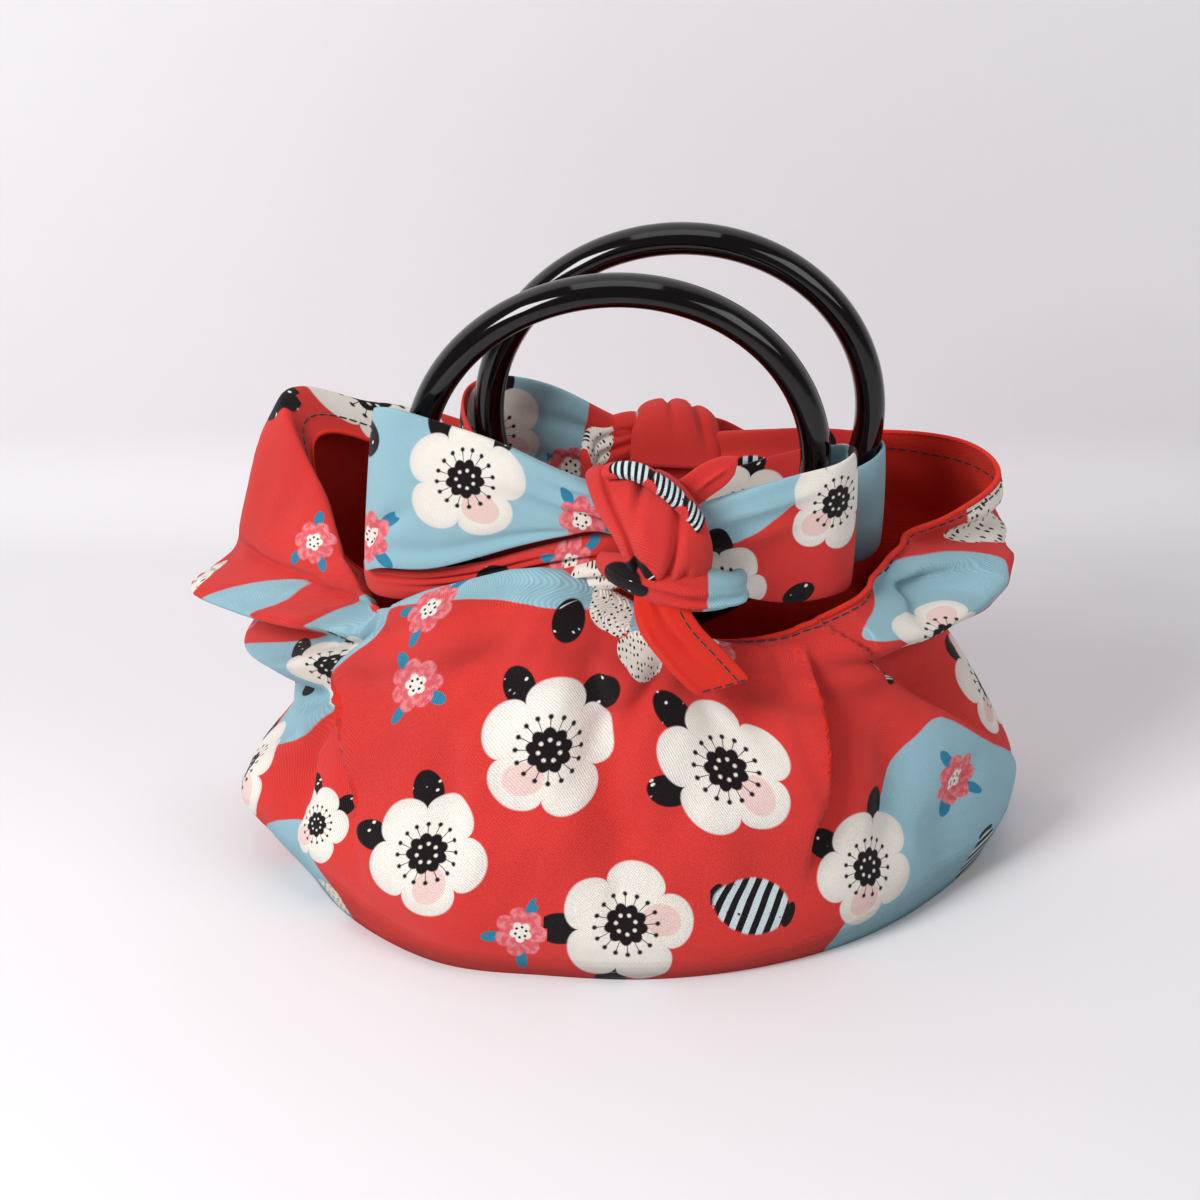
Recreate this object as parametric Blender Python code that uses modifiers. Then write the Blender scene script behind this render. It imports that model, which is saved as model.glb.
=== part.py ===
"""Furoshiki bag: a lined square of cloth, tied by its corners to two ring handles.

Sizes are in millimetres, and each mesh turns them into Blender's metres. +X is the bag's right, +Y its
back and +Z up. The tables measure from the floor under the front of the bag's mouth, and ORIGIN, the
middle of the bag's footprint there, becomes the world's origin.
"""
import bmesh
import bpy
import numpy as np
from mathutils import Vector

MM = 0.001

# ---- driving dimensions ----
ORIGIN = np.array([2.9, 2.3, 0.0])
CLOTH_THICKNESS = 1.0            # one layer of cloth
LAYER_GAP = 0.3                  # between the printed cloth and its lining
RING_OUTER_DIAMETER = 150.0
RING_TUBE = (11.0, 14.0)         # the tube's section, in the ring's plane and along its axis
RING_STEPS, RING_SIDES = 40, 8
BODY_STEPS = 54                  # sections of the body round the compass
FLOOR_CENTRE = np.array([12.0, 0.0])
NARROWEST_REACH = 60.0           # least distance at which compass angles turn into lengths

# A ring's middle, and how far its top leans to the back.
FRONT_RING = {"middle": (6.0, -20.0, 169.0), "lean": -9.0}
BACK_RING = {"middle": (29.0, 26.0, 168.5), "lean": -5.0}

# The body's sections, by compass direction in degrees from +X towards +Y. Each has the distances from
# FLOOR_CENTRE, and the heights, at which the cloth leaves the floor (foot), bulges just above it, draws
# in at the waist and at the tuck under its shoulder, rounds the shoulder and the lip, and ends (hem).
BODY_COLUMNS = ("compass", "foot", "bulge", "bulge_z", "waist", "waist_z", "tuck", "tuck_z",
                "shoulder", "shoulder_z", "lip", "lip_z", "hem", "hem_z")
BODY_SECTIONS = (
    (0,   136, 144, 22, 137, 52, 116, 88,  132, 108, 118, 127, 108, 134),
    (12,  146, 149, 16, 142, 46, 123, 86,  143, 110, 142, 130, 139, 142),
    (22,  144, 148, 18, 139, 50, 122, 88,  138, 112, 135, 134, 131, 148),
    (40,  122, 130, 22, 120, 58, 104, 96,  100, 120, 89,  139, 80,  148),
    (62,  102, 108, 20, 98,  62, 86,  98,  78,  118, 73,  130, 69,  135),
    (90,  92,  97,  16, 88,  62, 76,  92,  68,  106, 62,  115, 56,  115),
    (118, 98,  104, 18, 96,  64, 86,  100, 79,  120, 74,  134, 70,  139),
    (138, 112, 119, 22, 116, 64, 106, 100, 98,  128, 90,  148, 83,  152),
    (152, 122, 131, 24, 126, 62, 126, 92,  124, 126, 114, 158, 103, 157),
    (165, 128, 142, 24, 129, 58, 142, 86,  147, 120, 135, 170, 112, 160),
    (180, 128, 147, 26, 128, 54, 142, 78,  140, 108, 116, 130, 108, 122),
    (198, 119, 129, 24, 118, 54, 112, 84,  106, 108, 100, 121, 93,  115),
    (215, 112, 116, 18, 104, 60, 96,  98,  90,  121, 83,  135, 76,  133),
    (230, 106, 109, 14, 96,  64, 82,  106, 73,  131, 67,  143, 62,  143),
    (250, 94,  96,  12, 86,  64, 72,  108, 62,  131, 55,  140, 50,  140),
    (272, 91,  93,  12, 82,  62, 67,  100, 57,  120, 51,  128, 45,  127),
    (296, 94,  97,  12, 86,  58, 70,  92,  62,  108, 55,  116, 48,  114),
    (318, 103, 107, 16, 98,  58, 86,  86,  80,  101, 76,  112, 71,  117),
    (340, 117, 122, 20, 113, 58, 98,  86,  104, 103, 98,  117, 92,  126),
)
# Rows of the body's grid from the middle of the floor to the hem: how many lie in each span.
FLOOR_ROWS = (0.0, 0.35, 0.7, 0.93)
SPAN_ROWS = (2, 3, 3, 5, 3, 2)

# Folds of the body: a line from one compass direction and height to another, the fold's half width,
# and how far it pushes the cloth out, for a ridge, or in, for a crease.
FOLD_COLUMNS = ("from_compass", "from_z", "to_compass", "to_z", "width", "push")
FOLDS = {
    "left_roll":          (166, 106, 192, 99, 10, 13),
    "left_roll_tip":      (176, 105, 183, 104, 6, 11),
    "left_low_fold":      (172, 75, 198, 71, 8, 6),
    "front_left_crease":  (222, 96, 231, 10, 7, -6),
    "front_right_crease": (315, 96, 318, 20, 7, -6),
    "right_slanted_fold": (332, 92, 352, 40, 9, 6),
}

# Strands of gathered cloth: a path with, at each point, half the strand's width and half its
# thickness. "wide" is the direction across the strand in which its width lies.
STRAND_COLUMNS = ("x", "y", "z", "half_width", "half_thickness")
FRONT_TIE = {
    "left_lapel": {"wide": (0, 0, 1), "rows": (
        (14, -49, 160, 13, 6), (-2, -47, 165, 21, 5), (-18, -43, 166, 24, 3), (-38, -39, 163, 30, 1.8),
        (-60, -35, 160, 34, 1.4), (-79, -32, 158, 35, 1.3), (-85, -24, 156.5, 35, 1.3),
        (-79, -13, 155, 33, 1.3), (-63, -5.5, 152, 28, 1.3), (-42, -3.5, 145, 22, 1.3),
        (-18, -8, 138, 20, 1.4), (6, -11, 135, 18, 1.5))},
    "right_lapel": {"wide": (0, 0, 1), "rows": (
        (20, -50, 156, 12, 6), (36, -49, 153, 19, 5), (52, -46, 151, 24, 3), (70, -40, 150, 26, 1.6),
        (86, -34, 149, 26, 1.3), (92, -24, 149, 25, 1.3), (87, -12, 150, 25, 1.3),
        (72, -6.7, 148, 23, 1.3), (52, -4.7, 143, 20, 1.3), (28, -8, 137, 19, 1.4), (2, -11, 134, 16, 1.3))},
    "wrap": {"wide": (0.9, 0, 0.44), "rows": (
        (4, -36, 172, 12, 4), (8, -49, 173, 14, 5), (16, -60, 164, 15, 6), (24, -65, 151, 16, 6),
        (30, -61, 139, 17, 5), (35, -50, 131.5, 15, 4))},
    "front_tail": {"wide": (0.78, 0, 0.62), "rows": (
        (22, -54, 142, 8, 2), (24, -63, 134, 9, 1.6), (30, -68, 124, 9, 1.2), (38, -71, 114, 8.5, 1.2),
        (48, -71, 101, 7.5, 1.2))},
    "upper_tail": {"wide": (-0.5, 0.2, 0.85), "rows": (
        (24, -46, 164, 5, 2.5), (34, -47, 172, 6, 1.8), (43, -43, 177, 6, 1.4), (51, -40, 180, 5, 1.2))},
}
BACK_TIE = {
    "left_lapel": {"wide": (0, 0, 1), "rows": (
        (18, 50, 139, 11, 6), (2, 49, 141, 15, 5), (-18, 47, 143, 22, 3), (-36, 43, 144, 28, 1.6),
        (-47, 37, 142, 29, 1.3), (-50, 27, 140, 29, 1.3), (-46, 18, 136, 26, 1.3), (-34, 15, 132, 22, 1.3),
        (-14, 16, 126, 19, 1.4), (10, 17, 122, 17, 1.4), (30, 17, 121, 16, 1.5))},
    "right_lapel": {"wide": (0, 0, 1), "rows": (
        (24, 50, 138, 10, 6), (42, 48, 137, 14, 4), (60, 46, 136, 17, 2.4), (80, 43, 136, 19, 1.6),
        (97, 37.2, 136, 20, 1.3), (104, 28, 136, 20, 1.3), (100, 18, 134, 20, 1.3),
        (88, 15, 130, 19, 1.3), (68, 16, 125, 17, 1.3), (46, 17, 121, 16, 1.4), (24, 17, 120, 14, 1.3))},
    "wrap": {"wide": (0.94, 0, -0.34), "rows": (
        (24, 38, 147, 11, 4), (21, 49, 151, 13, 5), (17, 60, 147, 14, 6), (15, 66, 137, 14, 6),
        (14, 61, 127, 10, 4))},
    "inner_tail": {"wide": (0.75, 0.65, 0), "rows": (
        (22, 56, 147, 8, 3), (26, 46, 155, 10, 3), (34, 36, 154, 9, 1.8), (43, 28, 146, 7, 1.3))},
    "back_tail": {"wide": (0.8, 0, 0.6), "rows": (
        (12, 60, 135, 8, 3), (5, 68.8, 126, 9, 1.6), (-3, 75.8, 113, 8.5, 1.3), (-11, 80.8, 98, 7.5, 1.2))},
}
STRAND_SIDES = 10
STRAND_STEPS_PER_ROW = 2
STRAND_ROUNDING = 0.6            # power of the sine across the oval: 1 is an ellipse, less is squarer


def catmull(points, parts):
    """Points of a smooth curve through the rows of points, read at parts, 0 to the last row."""
    points = np.asarray(points, float)
    parts = np.asarray(parts, float)
    padded = np.vstack([2 * points[0] - points[1], points, 2 * points[-1] - points[-2]])
    low = np.minimum(parts.astype(int), len(points) - 2)
    step = (parts - low)[:, None]
    p0, p1, p2, p3 = (padded[low + k] for k in range(4))
    return 0.5 * (2 * p1 + (p2 - p0) * step + (2 * p0 - 5 * p1 + 4 * p2 - p3) * step ** 2
                  + (3 * p1 - p0 - 3 * p2 + p3) * step ** 3)


def sections_at(compass):
    """The body's columns at each compass direction, by a periodic cubic through the table's rows."""
    rows = np.array(BODY_SECTIONS, float)
    turns = np.concatenate([rows[:, 0] - 360, rows[:, 0], rows[:, 0] + 360])
    values = np.tile(rows[:, 1:], (3, 1))
    after = np.searchsorted(turns, compass, side="right")
    before = after - 1
    step = (turns[after] - turns[before])[:, None]
    part = (compass - turns[before])[:, None] / step
    slope = (values[2:] - values[:-2]) / (turns[2:] - turns[:-2])[:, None]
    start, end = slope[before - 1] * step, slope[after - 1] * step
    cubed, squared = part ** 3, part ** 2
    return ((2 * cubed - 3 * squared + 1) * values[before] + (cubed - 2 * squared + part) * start
            + (3 * squared - 2 * cubed) * values[after] + (cubed - squared) * end)


def body_profile(section):
    """Distances and heights of one section's rows, from the floor's middle to the hem."""
    column = dict(zip(BODY_COLUMNS[1:], section))
    stations = [(column["foot"], 0.0)]
    stations += [(column[name], column[name + "_z"])
                 for name in ("bulge", "waist", "tuck", "shoulder", "lip", "hem")]
    parts = np.concatenate([[0.0]] + [k + np.arange(1, n + 1) / n for k, n in enumerate(SPAN_ROWS)])
    wall = catmull(stations, parts)
    floor = np.array([(column["foot"] * part, 0.0) for part in FLOOR_ROWS])
    return np.vstack([floor, wall])


def add_folds(compass, profile):
    """Push each row of every section out or in where a fold's line passes near it."""
    heights = profile[..., 1]
    angles = np.repeat(compass[:, None], heights.shape[1], axis=1)
    reach = np.maximum(profile[..., 0], NARROWEST_REACH)
    for fold in FOLDS.values():
        row = dict(zip(FOLD_COLUMNS, fold))
        along = np.radians((angles - row["from_compass"] + 180) % 360 - 180) * reach
        span = np.radians(row["to_compass"] - row["from_compass"]) * reach
        rise = row["to_z"] - row["from_z"]
        place = (along * span + (heights - row["from_z"]) * rise) / (span ** 2 + rise ** 2)
        nearest = np.clip(place, 0, 1)
        away = np.hypot(along - nearest * span, heights - row["from_z"] - nearest * rise)
        strength = np.exp(-(away / row["width"]) ** 2) * (heights > 0.5)
        profile[..., 0] += row["push"] * strength
    return profile


def body_points():
    """The body's outer face as sections x rows x 3."""
    compass = np.arange(BODY_STEPS) * 360.0 / BODY_STEPS
    profile = np.array([body_profile(section) for section in sections_at(compass)])
    profile = add_folds(compass, profile)
    angle = np.radians(compass)[:, None]
    x = FLOOR_CENTRE[0] + profile[..., 0] * np.cos(angle)
    y = FLOOR_CENTRE[1] + profile[..., 0] * np.sin(angle)
    return np.stack([x, y, np.maximum(profile[..., 1], 0.0)], axis=-1)


def body_sheet():
    """Mesh of the body's outer face: a disc of rows round the floor's middle, its faces outwards."""
    points = body_points()
    middle, rows = points[0, 0], points[:, 1:]
    count, height = rows.shape[:2]
    mesh = bpy.data.meshes.new("body_sheet")
    build = bmesh.new()
    centre = build.verts.new(to_world(middle))
    grid = [[build.verts.new(to_world(point)) for point in section] for section in rows]
    for k in range(count):
        near, far = grid[k], grid[(k + 1) % count]
        build.faces.new((centre, far[0], near[0]))
        for j in range(height - 1):
            build.faces.new((near[j], far[j], far[j + 1], near[j + 1]))
    bmesh.ops.recalc_face_normals(build, faces=build.faces[:])
    build.to_mesh(mesh)
    build.free()
    return mesh


def to_world(point):
    """A point of the tables in metres from the world's origin."""
    return Vector((np.asarray(point) - ORIGIN) * MM)


def strand_mesh(name, strand):
    """A closed strand: flat oval sections carried along a smooth path."""
    rows = np.array(strand["rows"], float)
    parts = np.linspace(0, len(rows) - 1, (len(rows) - 1) * STRAND_STEPS_PER_ROW + 1)
    column = dict(zip(STRAND_COLUMNS, catmull(rows, parts).T))
    path = np.stack([column["x"], column["y"], column["z"]], axis=1)
    along = np.gradient(path, axis=0)
    along /= np.linalg.norm(along, axis=1)[:, None]
    asked = np.array(strand["wide"], float)
    wide = asked - along * (along @ asked)[:, None]
    wide /= np.linalg.norm(wide, axis=1)[:, None]
    thick = np.cross(along, wide)
    turn = np.arange(STRAND_SIDES) * 2 * np.pi / STRAND_SIDES
    squarer = np.sign(np.sin(turn)) * np.abs(np.sin(turn)) ** STRAND_ROUNDING
    build = bmesh.new()
    loops = []
    for point, across, through in zip(path, wide * column["half_width"][:, None],
                                      thick * column["half_thickness"][:, None]):
        loops.append([build.verts.new(to_world(point + across * a + through * b))
                      for a, b in zip(np.cos(turn), squarer)])
    for near, far in zip(loops, loops[1:]):
        for k in range(STRAND_SIDES):
            m = (k + 1) % STRAND_SIDES
            build.faces.new((near[k], near[m], far[m], far[k]))
    build.faces.new(loops[0][::-1])
    build.faces.new(loops[-1])
    bmesh.ops.recalc_face_normals(build, faces=build.faces[:])
    bmesh.ops.triangulate(build, faces=build.faces[:])
    mesh = bpy.data.meshes.new(name)
    build.to_mesh(mesh)
    build.free()
    return mesh


def material(name, colour, roughness):
    """A Principled material of one linear colour."""
    made = bpy.data.materials.new(name)
    made.use_nodes = True
    shader = made.node_tree.nodes["Principled BSDF"]
    shader.inputs["Base Color"].default_value = (*colour, 1.0)
    shader.inputs["Roughness"].default_value = roughness
    return made


def add_object(name, mesh, finish, folder):
    """A named object in its collection, with its material and smooth faces."""
    made = bpy.data.objects.new(name, mesh)
    mesh.materials.clear()
    mesh.materials.append(finish)
    mesh.shade_smooth()
    folder.objects.link(made)
    return made


def add_cloth(name, sheet, depth, finish, folder):
    """One layer of the bag: the body's outer face, set in by depth, with the cloth's thickness."""
    made = add_object(name, sheet, finish, folder)
    wall = made.modifiers.new("cloth", "SOLIDIFY")
    wall.thickness = CLOTH_THICKNESS * MM
    wall.offset = -1 - 2 * depth / CLOTH_THICKNESS
    return made


def add_ring(name, ring, finish, folder):
    """A ring handle: its oval tube's section turned about the ring's axis."""
    radius = (RING_OUTER_DIAMETER - RING_TUBE[0]) / 2
    turn = np.arange(RING_SIDES) * 2 * np.pi / RING_SIDES
    build = bmesh.new()
    corners = [build.verts.new(((radius + RING_TUBE[0] / 2 * np.cos(a)) * MM, 0,
                                -RING_TUBE[1] / 2 * np.sin(a) * MM)) for a in turn]
    for k in range(RING_SIDES):
        build.edges.new((corners[k], corners[(k + 1) % RING_SIDES]))
    mesh = bpy.data.meshes.new(name)
    build.to_mesh(mesh)
    build.free()
    made = add_object(name, mesh, finish, folder)
    screw = made.modifiers.new("turned", "SCREW")
    screw.axis = "Z"
    screw.steps = screw.render_steps = RING_STEPS
    screw.use_merge_vertices = True
    screw.merge_threshold = 0.05 * MM
    made.location = to_world(ring["middle"])
    made.rotation_euler = (np.radians(90 - ring["lean"]), 0, 0)
    return made


def add_tie(name, strands, finish, folder, cutters):
    """Two tied corners: the first strand, with the others joined to it."""
    pieces = []
    for piece_name, strand in strands.items():
        piece = add_object(name + "_" + piece_name, strand_mesh(piece_name, strand), finish, cutters)
        piece.hide_render = True
        piece.display_type = "WIRE"
        pieces.append(piece)
    made = add_object(name, pieces[0].data.copy(), finish, folder)
    for piece in pieces[1:]:
        union = made.modifiers.new(piece.name, "BOOLEAN")
        union.operation = "UNION"
        union.solver = "EXACT"
        union.object = piece
    bpy.data.objects.remove(pieces[0])
    return made


def main():
    for old in list(bpy.data.objects):
        bpy.data.objects.remove(old)
    scene = bpy.context.scene
    bag = bpy.data.collections.new("furoshiki_bag")
    joined = bpy.data.collections.new("joined_strands")
    scene.collection.children.link(bag)
    scene.collection.children.link(joined)

    printed = material("printed_cotton", (0.72, 0.05, 0.04), 0.85)
    plain = material("plain_red_cotton", (0.6, 0.01, 0.01), 0.85)
    gloss = material("black_gloss_plastic", (0.01, 0.008, 0.008), 0.12)

    add_cloth("printed_cloth", body_sheet(), 0.0, printed, bag)
    add_cloth("lining", body_sheet(), CLOTH_THICKNESS + LAYER_GAP, plain, bag)
    add_ring("front_ring", FRONT_RING, gloss, bag)
    add_ring("back_ring", BACK_RING, gloss, bag)
    add_tie("front_tied_corners", FRONT_TIE, printed, bag, joined)
    add_tie("back_tied_corners", BACK_TIE, printed, bag, joined)


main()
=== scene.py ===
import bpy
import numpy as np
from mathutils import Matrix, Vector


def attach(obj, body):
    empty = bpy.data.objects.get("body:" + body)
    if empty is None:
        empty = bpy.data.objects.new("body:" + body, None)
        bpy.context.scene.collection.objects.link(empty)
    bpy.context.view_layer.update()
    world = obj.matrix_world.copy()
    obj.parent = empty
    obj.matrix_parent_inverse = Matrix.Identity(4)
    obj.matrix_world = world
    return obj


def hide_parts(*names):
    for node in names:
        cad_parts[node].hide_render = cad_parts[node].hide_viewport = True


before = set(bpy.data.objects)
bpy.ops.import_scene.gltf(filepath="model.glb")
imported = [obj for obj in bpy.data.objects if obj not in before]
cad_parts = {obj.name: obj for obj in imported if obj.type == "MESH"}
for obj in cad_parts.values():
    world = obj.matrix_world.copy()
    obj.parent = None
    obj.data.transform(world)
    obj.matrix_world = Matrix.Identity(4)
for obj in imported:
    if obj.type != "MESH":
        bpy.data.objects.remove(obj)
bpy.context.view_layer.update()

# The tables below are in mm: X to the right, Y to the back, Z up from the floor. Their zero is a
# little to the left of the frame's own, and in front of it.
mm = 0.001
tableZero = np.array([2.9, 2.3, 0.0])


def toFrame(points):
    # table points in mm as frame points in metres
    return (np.asarray(points, float) - tableZero) * mm


def linearColour(hexColour):
    # an sRGB hex colour as linear red, green, blue and alpha
    srgb = np.array([int(hexColour[k:k + 2], 16) for k in (1, 3, 5)]) / 255
    linear = np.where(srgb <= 0.04045, srgb / 12.92, ((srgb + 0.055) / 1.055) ** 2.4)
    return (*linear, 1.0)


def addNode(tree, kind, *inputs, **settings):
    # one node: settings are its attributes; inputs are values or links in order, or a dict by name
    node = tree.nodes.new(kind)
    for name, value in settings.items():
        setattr(node, name, value)
    pairs = [(k, value) for k, value in enumerate(inputs) if not isinstance(value, dict)]
    for named in (value for value in inputs if isinstance(value, dict)):
        pairs += list(named.items())
    for key, value in pairs:
        if isinstance(value, bpy.types.Node):
            value = value.outputs[0]
        if isinstance(value, bpy.types.NodeSocket):
            tree.links.new(value, node.inputs[key])
        else:
            node.inputs[key].default_value = value
    return node


def newMaterial(name, **shaderValues):
    # a material with its shader's fixed values set; gives the material, its node tree and the shader
    material = bpy.data.materials.new(name)
    material.use_nodes = True
    shader = material.node_tree.nodes["Principled BSDF"]
    for key, value in shaderValues.items():
        shader.inputs[key.replace("_", " ")].default_value = value
    return material, material.node_tree, shader


def smoothThrough(points, parts):
    # a Catmull-Rom curve through the rows of points, read at parts from 0 to the last row
    points = np.asarray(points, float)
    parts = np.asarray(parts, float)
    padded = np.concatenate([2 * points[:1] - points[1:2], points, 2 * points[-1:] - points[-2:-1]])
    low = np.clip(parts.astype(int), 0, len(points) - 2)
    step = (parts - low).reshape(-1, *[1] * (points.ndim - 1))
    p0, p1, p2, p3 = (padded[low + k] for k in range(4))
    return 0.5 * (2 * p1 + (p2 - p0) * step + (2 * p0 - 5 * p1 + 4 * p2 - p3) * step ** 2
                  + (3 * p1 - p0 - 3 * p2 + p3) * step ** 3)


def unit(vectors):
    # each vector at length one
    return vectors / np.maximum(np.linalg.norm(vectors, axis=-1, keepdims=True), 1e-9)


def gridNormals(grid, closed):
    # the cross product of the two ways across a grid (columns x rows x 3), closed round or not
    if closed:
        across = np.roll(grid, -1, axis=0) - np.roll(grid, 1, axis=0)
    else:
        across = np.gradient(grid, axis=0)
    return unit(np.cross(across, np.gradient(grid, axis=1)))


def runningLengths(grid, closed):
    # mm run along the columns' way (u) and the rows' way (v); a closed grid repeats its first column
    wide = np.concatenate([grid, grid[:1]]) if closed else grid
    u = np.cumsum(np.linalg.norm(np.diff(wide, axis=0, prepend=wide[:1]), axis=-1), axis=0)
    v = np.cumsum(np.linalg.norm(np.diff(wide, axis=1, prepend=wide[:, :1]), axis=-1), axis=1)
    return u, v


def evened(lengths, reach=10):
    # a running mean from row to row, so that the weave doesn't shear between two rows
    padded = np.pad(lengths, ((0, 0), (reach + 1, reach)), mode="edge").cumsum(axis=1)
    return (padded[:, 2 * reach + 1:] - padded[:, :-2 * reach - 1]) / (2 * reach + 1)


def addPiece(name, points, faces):
    # a smooth mesh of table points, linked to the scene and carried by the bag
    mesh = bpy.data.meshes.new(name)
    mesh.from_pydata(toFrame(points.reshape(-1, 3)), [], faces)
    mesh.shade_smooth()
    made = bpy.data.objects.new(name, mesh)
    bpy.context.scene.collection.objects.link(made)
    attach(made, "root")
    return made


def patchDistance(x, y, patches, period=0.0):
    # mm inside (+) or outside (-) the nearest patch's outline, a smooth curve round its corners
    best = np.full(x.shape, -1000.0)
    for patch in patches:
        corners = np.array(patch, float)
        around = np.concatenate([corners[-1:], corners, corners[:2]])
        outline = smoothThrough(around, 1 + np.arange(4 * len(corners)) / 4)
        along = x - corners[0, 0]
        if period:
            along = (along + period / 2) % period - period / 2
        along = (along + corners[0, 0])[..., None]
        start, end = outline, np.roll(outline, -1, axis=0)
        edge = end - start + 1e-6  # never quite level, for the division below
        offX, offY = along - start[:, 0], y[..., None] - start[:, 1]
        part = np.clip((offX * edge[:, 0] + offY * edge[:, 1]) / (edge ** 2).sum(axis=-1), 0, 1)
        away = np.hypot(offX - part * edge[:, 0], offY - part * edge[:, 1]).min(axis=-1)
        passes = (start[:, 1] > y[..., None]) != (end[:, 1] > y[..., None])
        before = offX < edge[:, 0] * offY / edge[:, 1]
        inside = (passes & before).sum(axis=-1) % 2 == 1
        best = np.maximum(best, np.where(inside, away, -away))
    return best


# Motifs: 1 anemone, 2 camellia, 3 lantern, 4 stroked patch, 5 leaf. In the motif's radius: how far
# its ink reaches from its middle, and how far past its ink a quad still takes its coordinates.
motifInk = {"reach": {1: 1.34, 2: 1.28, 3: 1.08, 4: 1.0, 5: 1.0}, "spare": 0.5}


def layPrint(mesh, quads, design):
    # motifMap: each quad takes the coordinates of the motif whose ink is nearest, in its radii.
    # blueGround: mm inside the blue patches, so that zero is the edge between red and blue
    best = np.full(len(quads), np.inf)
    kind = np.zeros(len(mesh.polygons), np.float32)
    corners = np.zeros((len(mesh.loops), 2))
    for motif, du, dv, radius, turn in design["motifs"]:
        angle = np.radians(turn)
        local = np.stack([du * np.cos(angle) + dv * np.sin(angle),
                          dv * np.cos(angle) - du * np.sin(angle)], -1).reshape(-1, 2) / radius
        onQuads = local[quads]
        away = (np.linalg.norm(onQuads, axis=-1).mean(axis=1) - motifInk["reach"][motif]) * radius
        closer = np.nonzero((away < best) & (away < motifInk["spare"] * radius))[0]
        best[closer] = away[closer]
        kind[closer] = motif
        corners[(closer[:, None] * 4 + np.arange(4)).ravel()] = onQuads[closer].reshape(-1, 2)
    mesh.uv_layers.new(name="motifMap").data.foreach_set("uv", corners.ravel())
    mesh.attributes.new("motifKind", "FLOAT", "FACE").data.foreach_set("value", kind)
    blue = mesh.attributes.new("blueGround", "FLOAT", "POINT")
    blue.data.foreach_set("value", design["blue"].ravel()[:len(mesh.vertices)].astype(np.float32))


def clothObject(name, grid, closed=False, caps=(), design=None):
    # quads between the grid's neighbours, closed round its columns or not; caps are the rows that
    # one flat face closes. clothMap: metres along the cloth, for the weave
    columns, rows = grid.shape[:2]
    u, v = runningLengths(grid, closed)
    corner = np.arange(u.size).reshape(u.shape)
    quads = np.stack([corner[:-1, :-1], corner[1:, :-1], corner[1:, 1:], corner[:-1, 1:]], -1)
    quads = quads.reshape(-1, 4)
    faces = (quads % (columns * rows)).tolist()
    for row in caps:
        ring = np.arange(columns) * rows + row % rows
        faces.append((ring[::-1] if row == 0 else ring).tolist())
    made = addPiece(name, grid, faces)
    place = np.zeros((len(made.data.loops), 2))
    place[:quads.size] = np.stack([evened(u).ravel()[quads.ravel()], v.ravel()[quads.ravel()]], -1) * mm
    made.data.uv_layers.new(name="clothMap").data.foreach_set("uv", place.ravel())
    if design:
        layPrint(made.data, quads, design)
    return made


def giveThickness(piece, thickness, offset=-1.0):
    # a wall of that many mm behind the sheet's face, or with offset 0 half on each side of it
    wall = piece.modifiers.new("clothThickness", "SOLIDIFY")
    wall.thickness = thickness * mm
    wall.offset = offset


# Cotton: spacing of the twill's ribs and of the ribs across them, fibres and dye patches, and the
# ribs' height, in mm; then the darkest and the lightest tone that each gives. The ribs' tones are
# painted shade in the hollows between ribs and painted light on their crests.
clothFinish = {"ribs": 0.95, "crossRibs": 0.57, "fibres": 0.35, "patches": 45.0, "bump": 0.14,
               "paintedRibShading": (0.84, 1.10), "patchTone": (0.95, 1.04), "fibreTone": (0.90, 1.08)}
printColours = {"red": "#DD3A35", "blue": "#9AC3D0", "cream": "#F7F1E6", "black": "#150D10",
                "pink": "#F08A8E", "rose": "#E4606A", "leaf": "#2E86A8", "grey": "#C9C3CC",
                "mist": "#D3E4E8"}


def addWeave(tree, shader, colour):
    # twill: slanting ribs a little over a real thread's width, so that they show, with fibre noise
    place = addNode(tree, "ShaderNodeUVMap", uv_map="clothMap")
    parts = addNode(tree, "ShaderNodeSeparateXYZ", place)
    waves = []
    for way, spacing in (("ADD", clothFinish["ribs"]), ("SUBTRACT", clothFinish["crossRibs"])):
        slant = addNode(tree, "ShaderNodeMath", parts.outputs[0], parts.outputs[1], operation=way)
        turns = addNode(tree, "ShaderNodeMath", slant, 2 * np.pi / (spacing * mm), operation="MULTIPLY")
        waves.append(addNode(tree, "ShaderNodeMath", turns, operation="SINE"))
    weave = addNode(tree, "ShaderNodeMath", waves[1], 0.45, waves[0], operation="MULTIPLY_ADD")
    fibre, patch = (addNode(tree, "ShaderNodeTexNoise",
                            {"Vector": place, "Scale": 1 / (clothFinish[key] * mm), "Detail": detail})
                    for key, detail in (("fibres", 2.0), ("patches", 3.0)))
    height = addNode(tree, "ShaderNodeMath", fibre, 1.6, weave, operation="MULTIPLY_ADD")
    bump = addNode(tree, "ShaderNodeBump", {"Height": height, "Strength": 0.75,
                                            "Distance": clothFinish["bump"] * mm})
    tree.links.new(bump.outputs[0], shader.inputs["Normal"])
    # painted shade darkens the hollows between ribs and painted light brightens their crests, and the dye
    # takes a little unevenly
    value = addNode(tree, "ShaderNodeMapRange", weave, -1.4, 1.4, *clothFinish["paintedRibShading"])
    for noise, key in ((patch, "patchTone"), (fibre, "fibreTone")):
        tone = addNode(tree, "ShaderNodeMapRange", noise, 0.3, 0.7, *clothFinish[key])
        value = addNode(tree, "ShaderNodeMath", value, tone, operation="MULTIPLY")
    toned = addNode(tree, "ShaderNodeHueSaturation", {"Value": value, "Color": colour})
    tree.links.new(toned.outputs[0], shader.inputs["Base Color"])


def insideOf(tree, measure, limit, softness=0.02):
    # 1 where the measure is under its limit, 0 over it, with a soft edge
    return addNode(tree, "ShaderNodeMapRange", measure,
                   addNode(tree, "ShaderNodeMath", limit, softness, operation="ADD"),
                   addNode(tree, "ShaderNodeMath", limit, softness, operation="SUBTRACT"), 0.0, 1.0)


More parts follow.
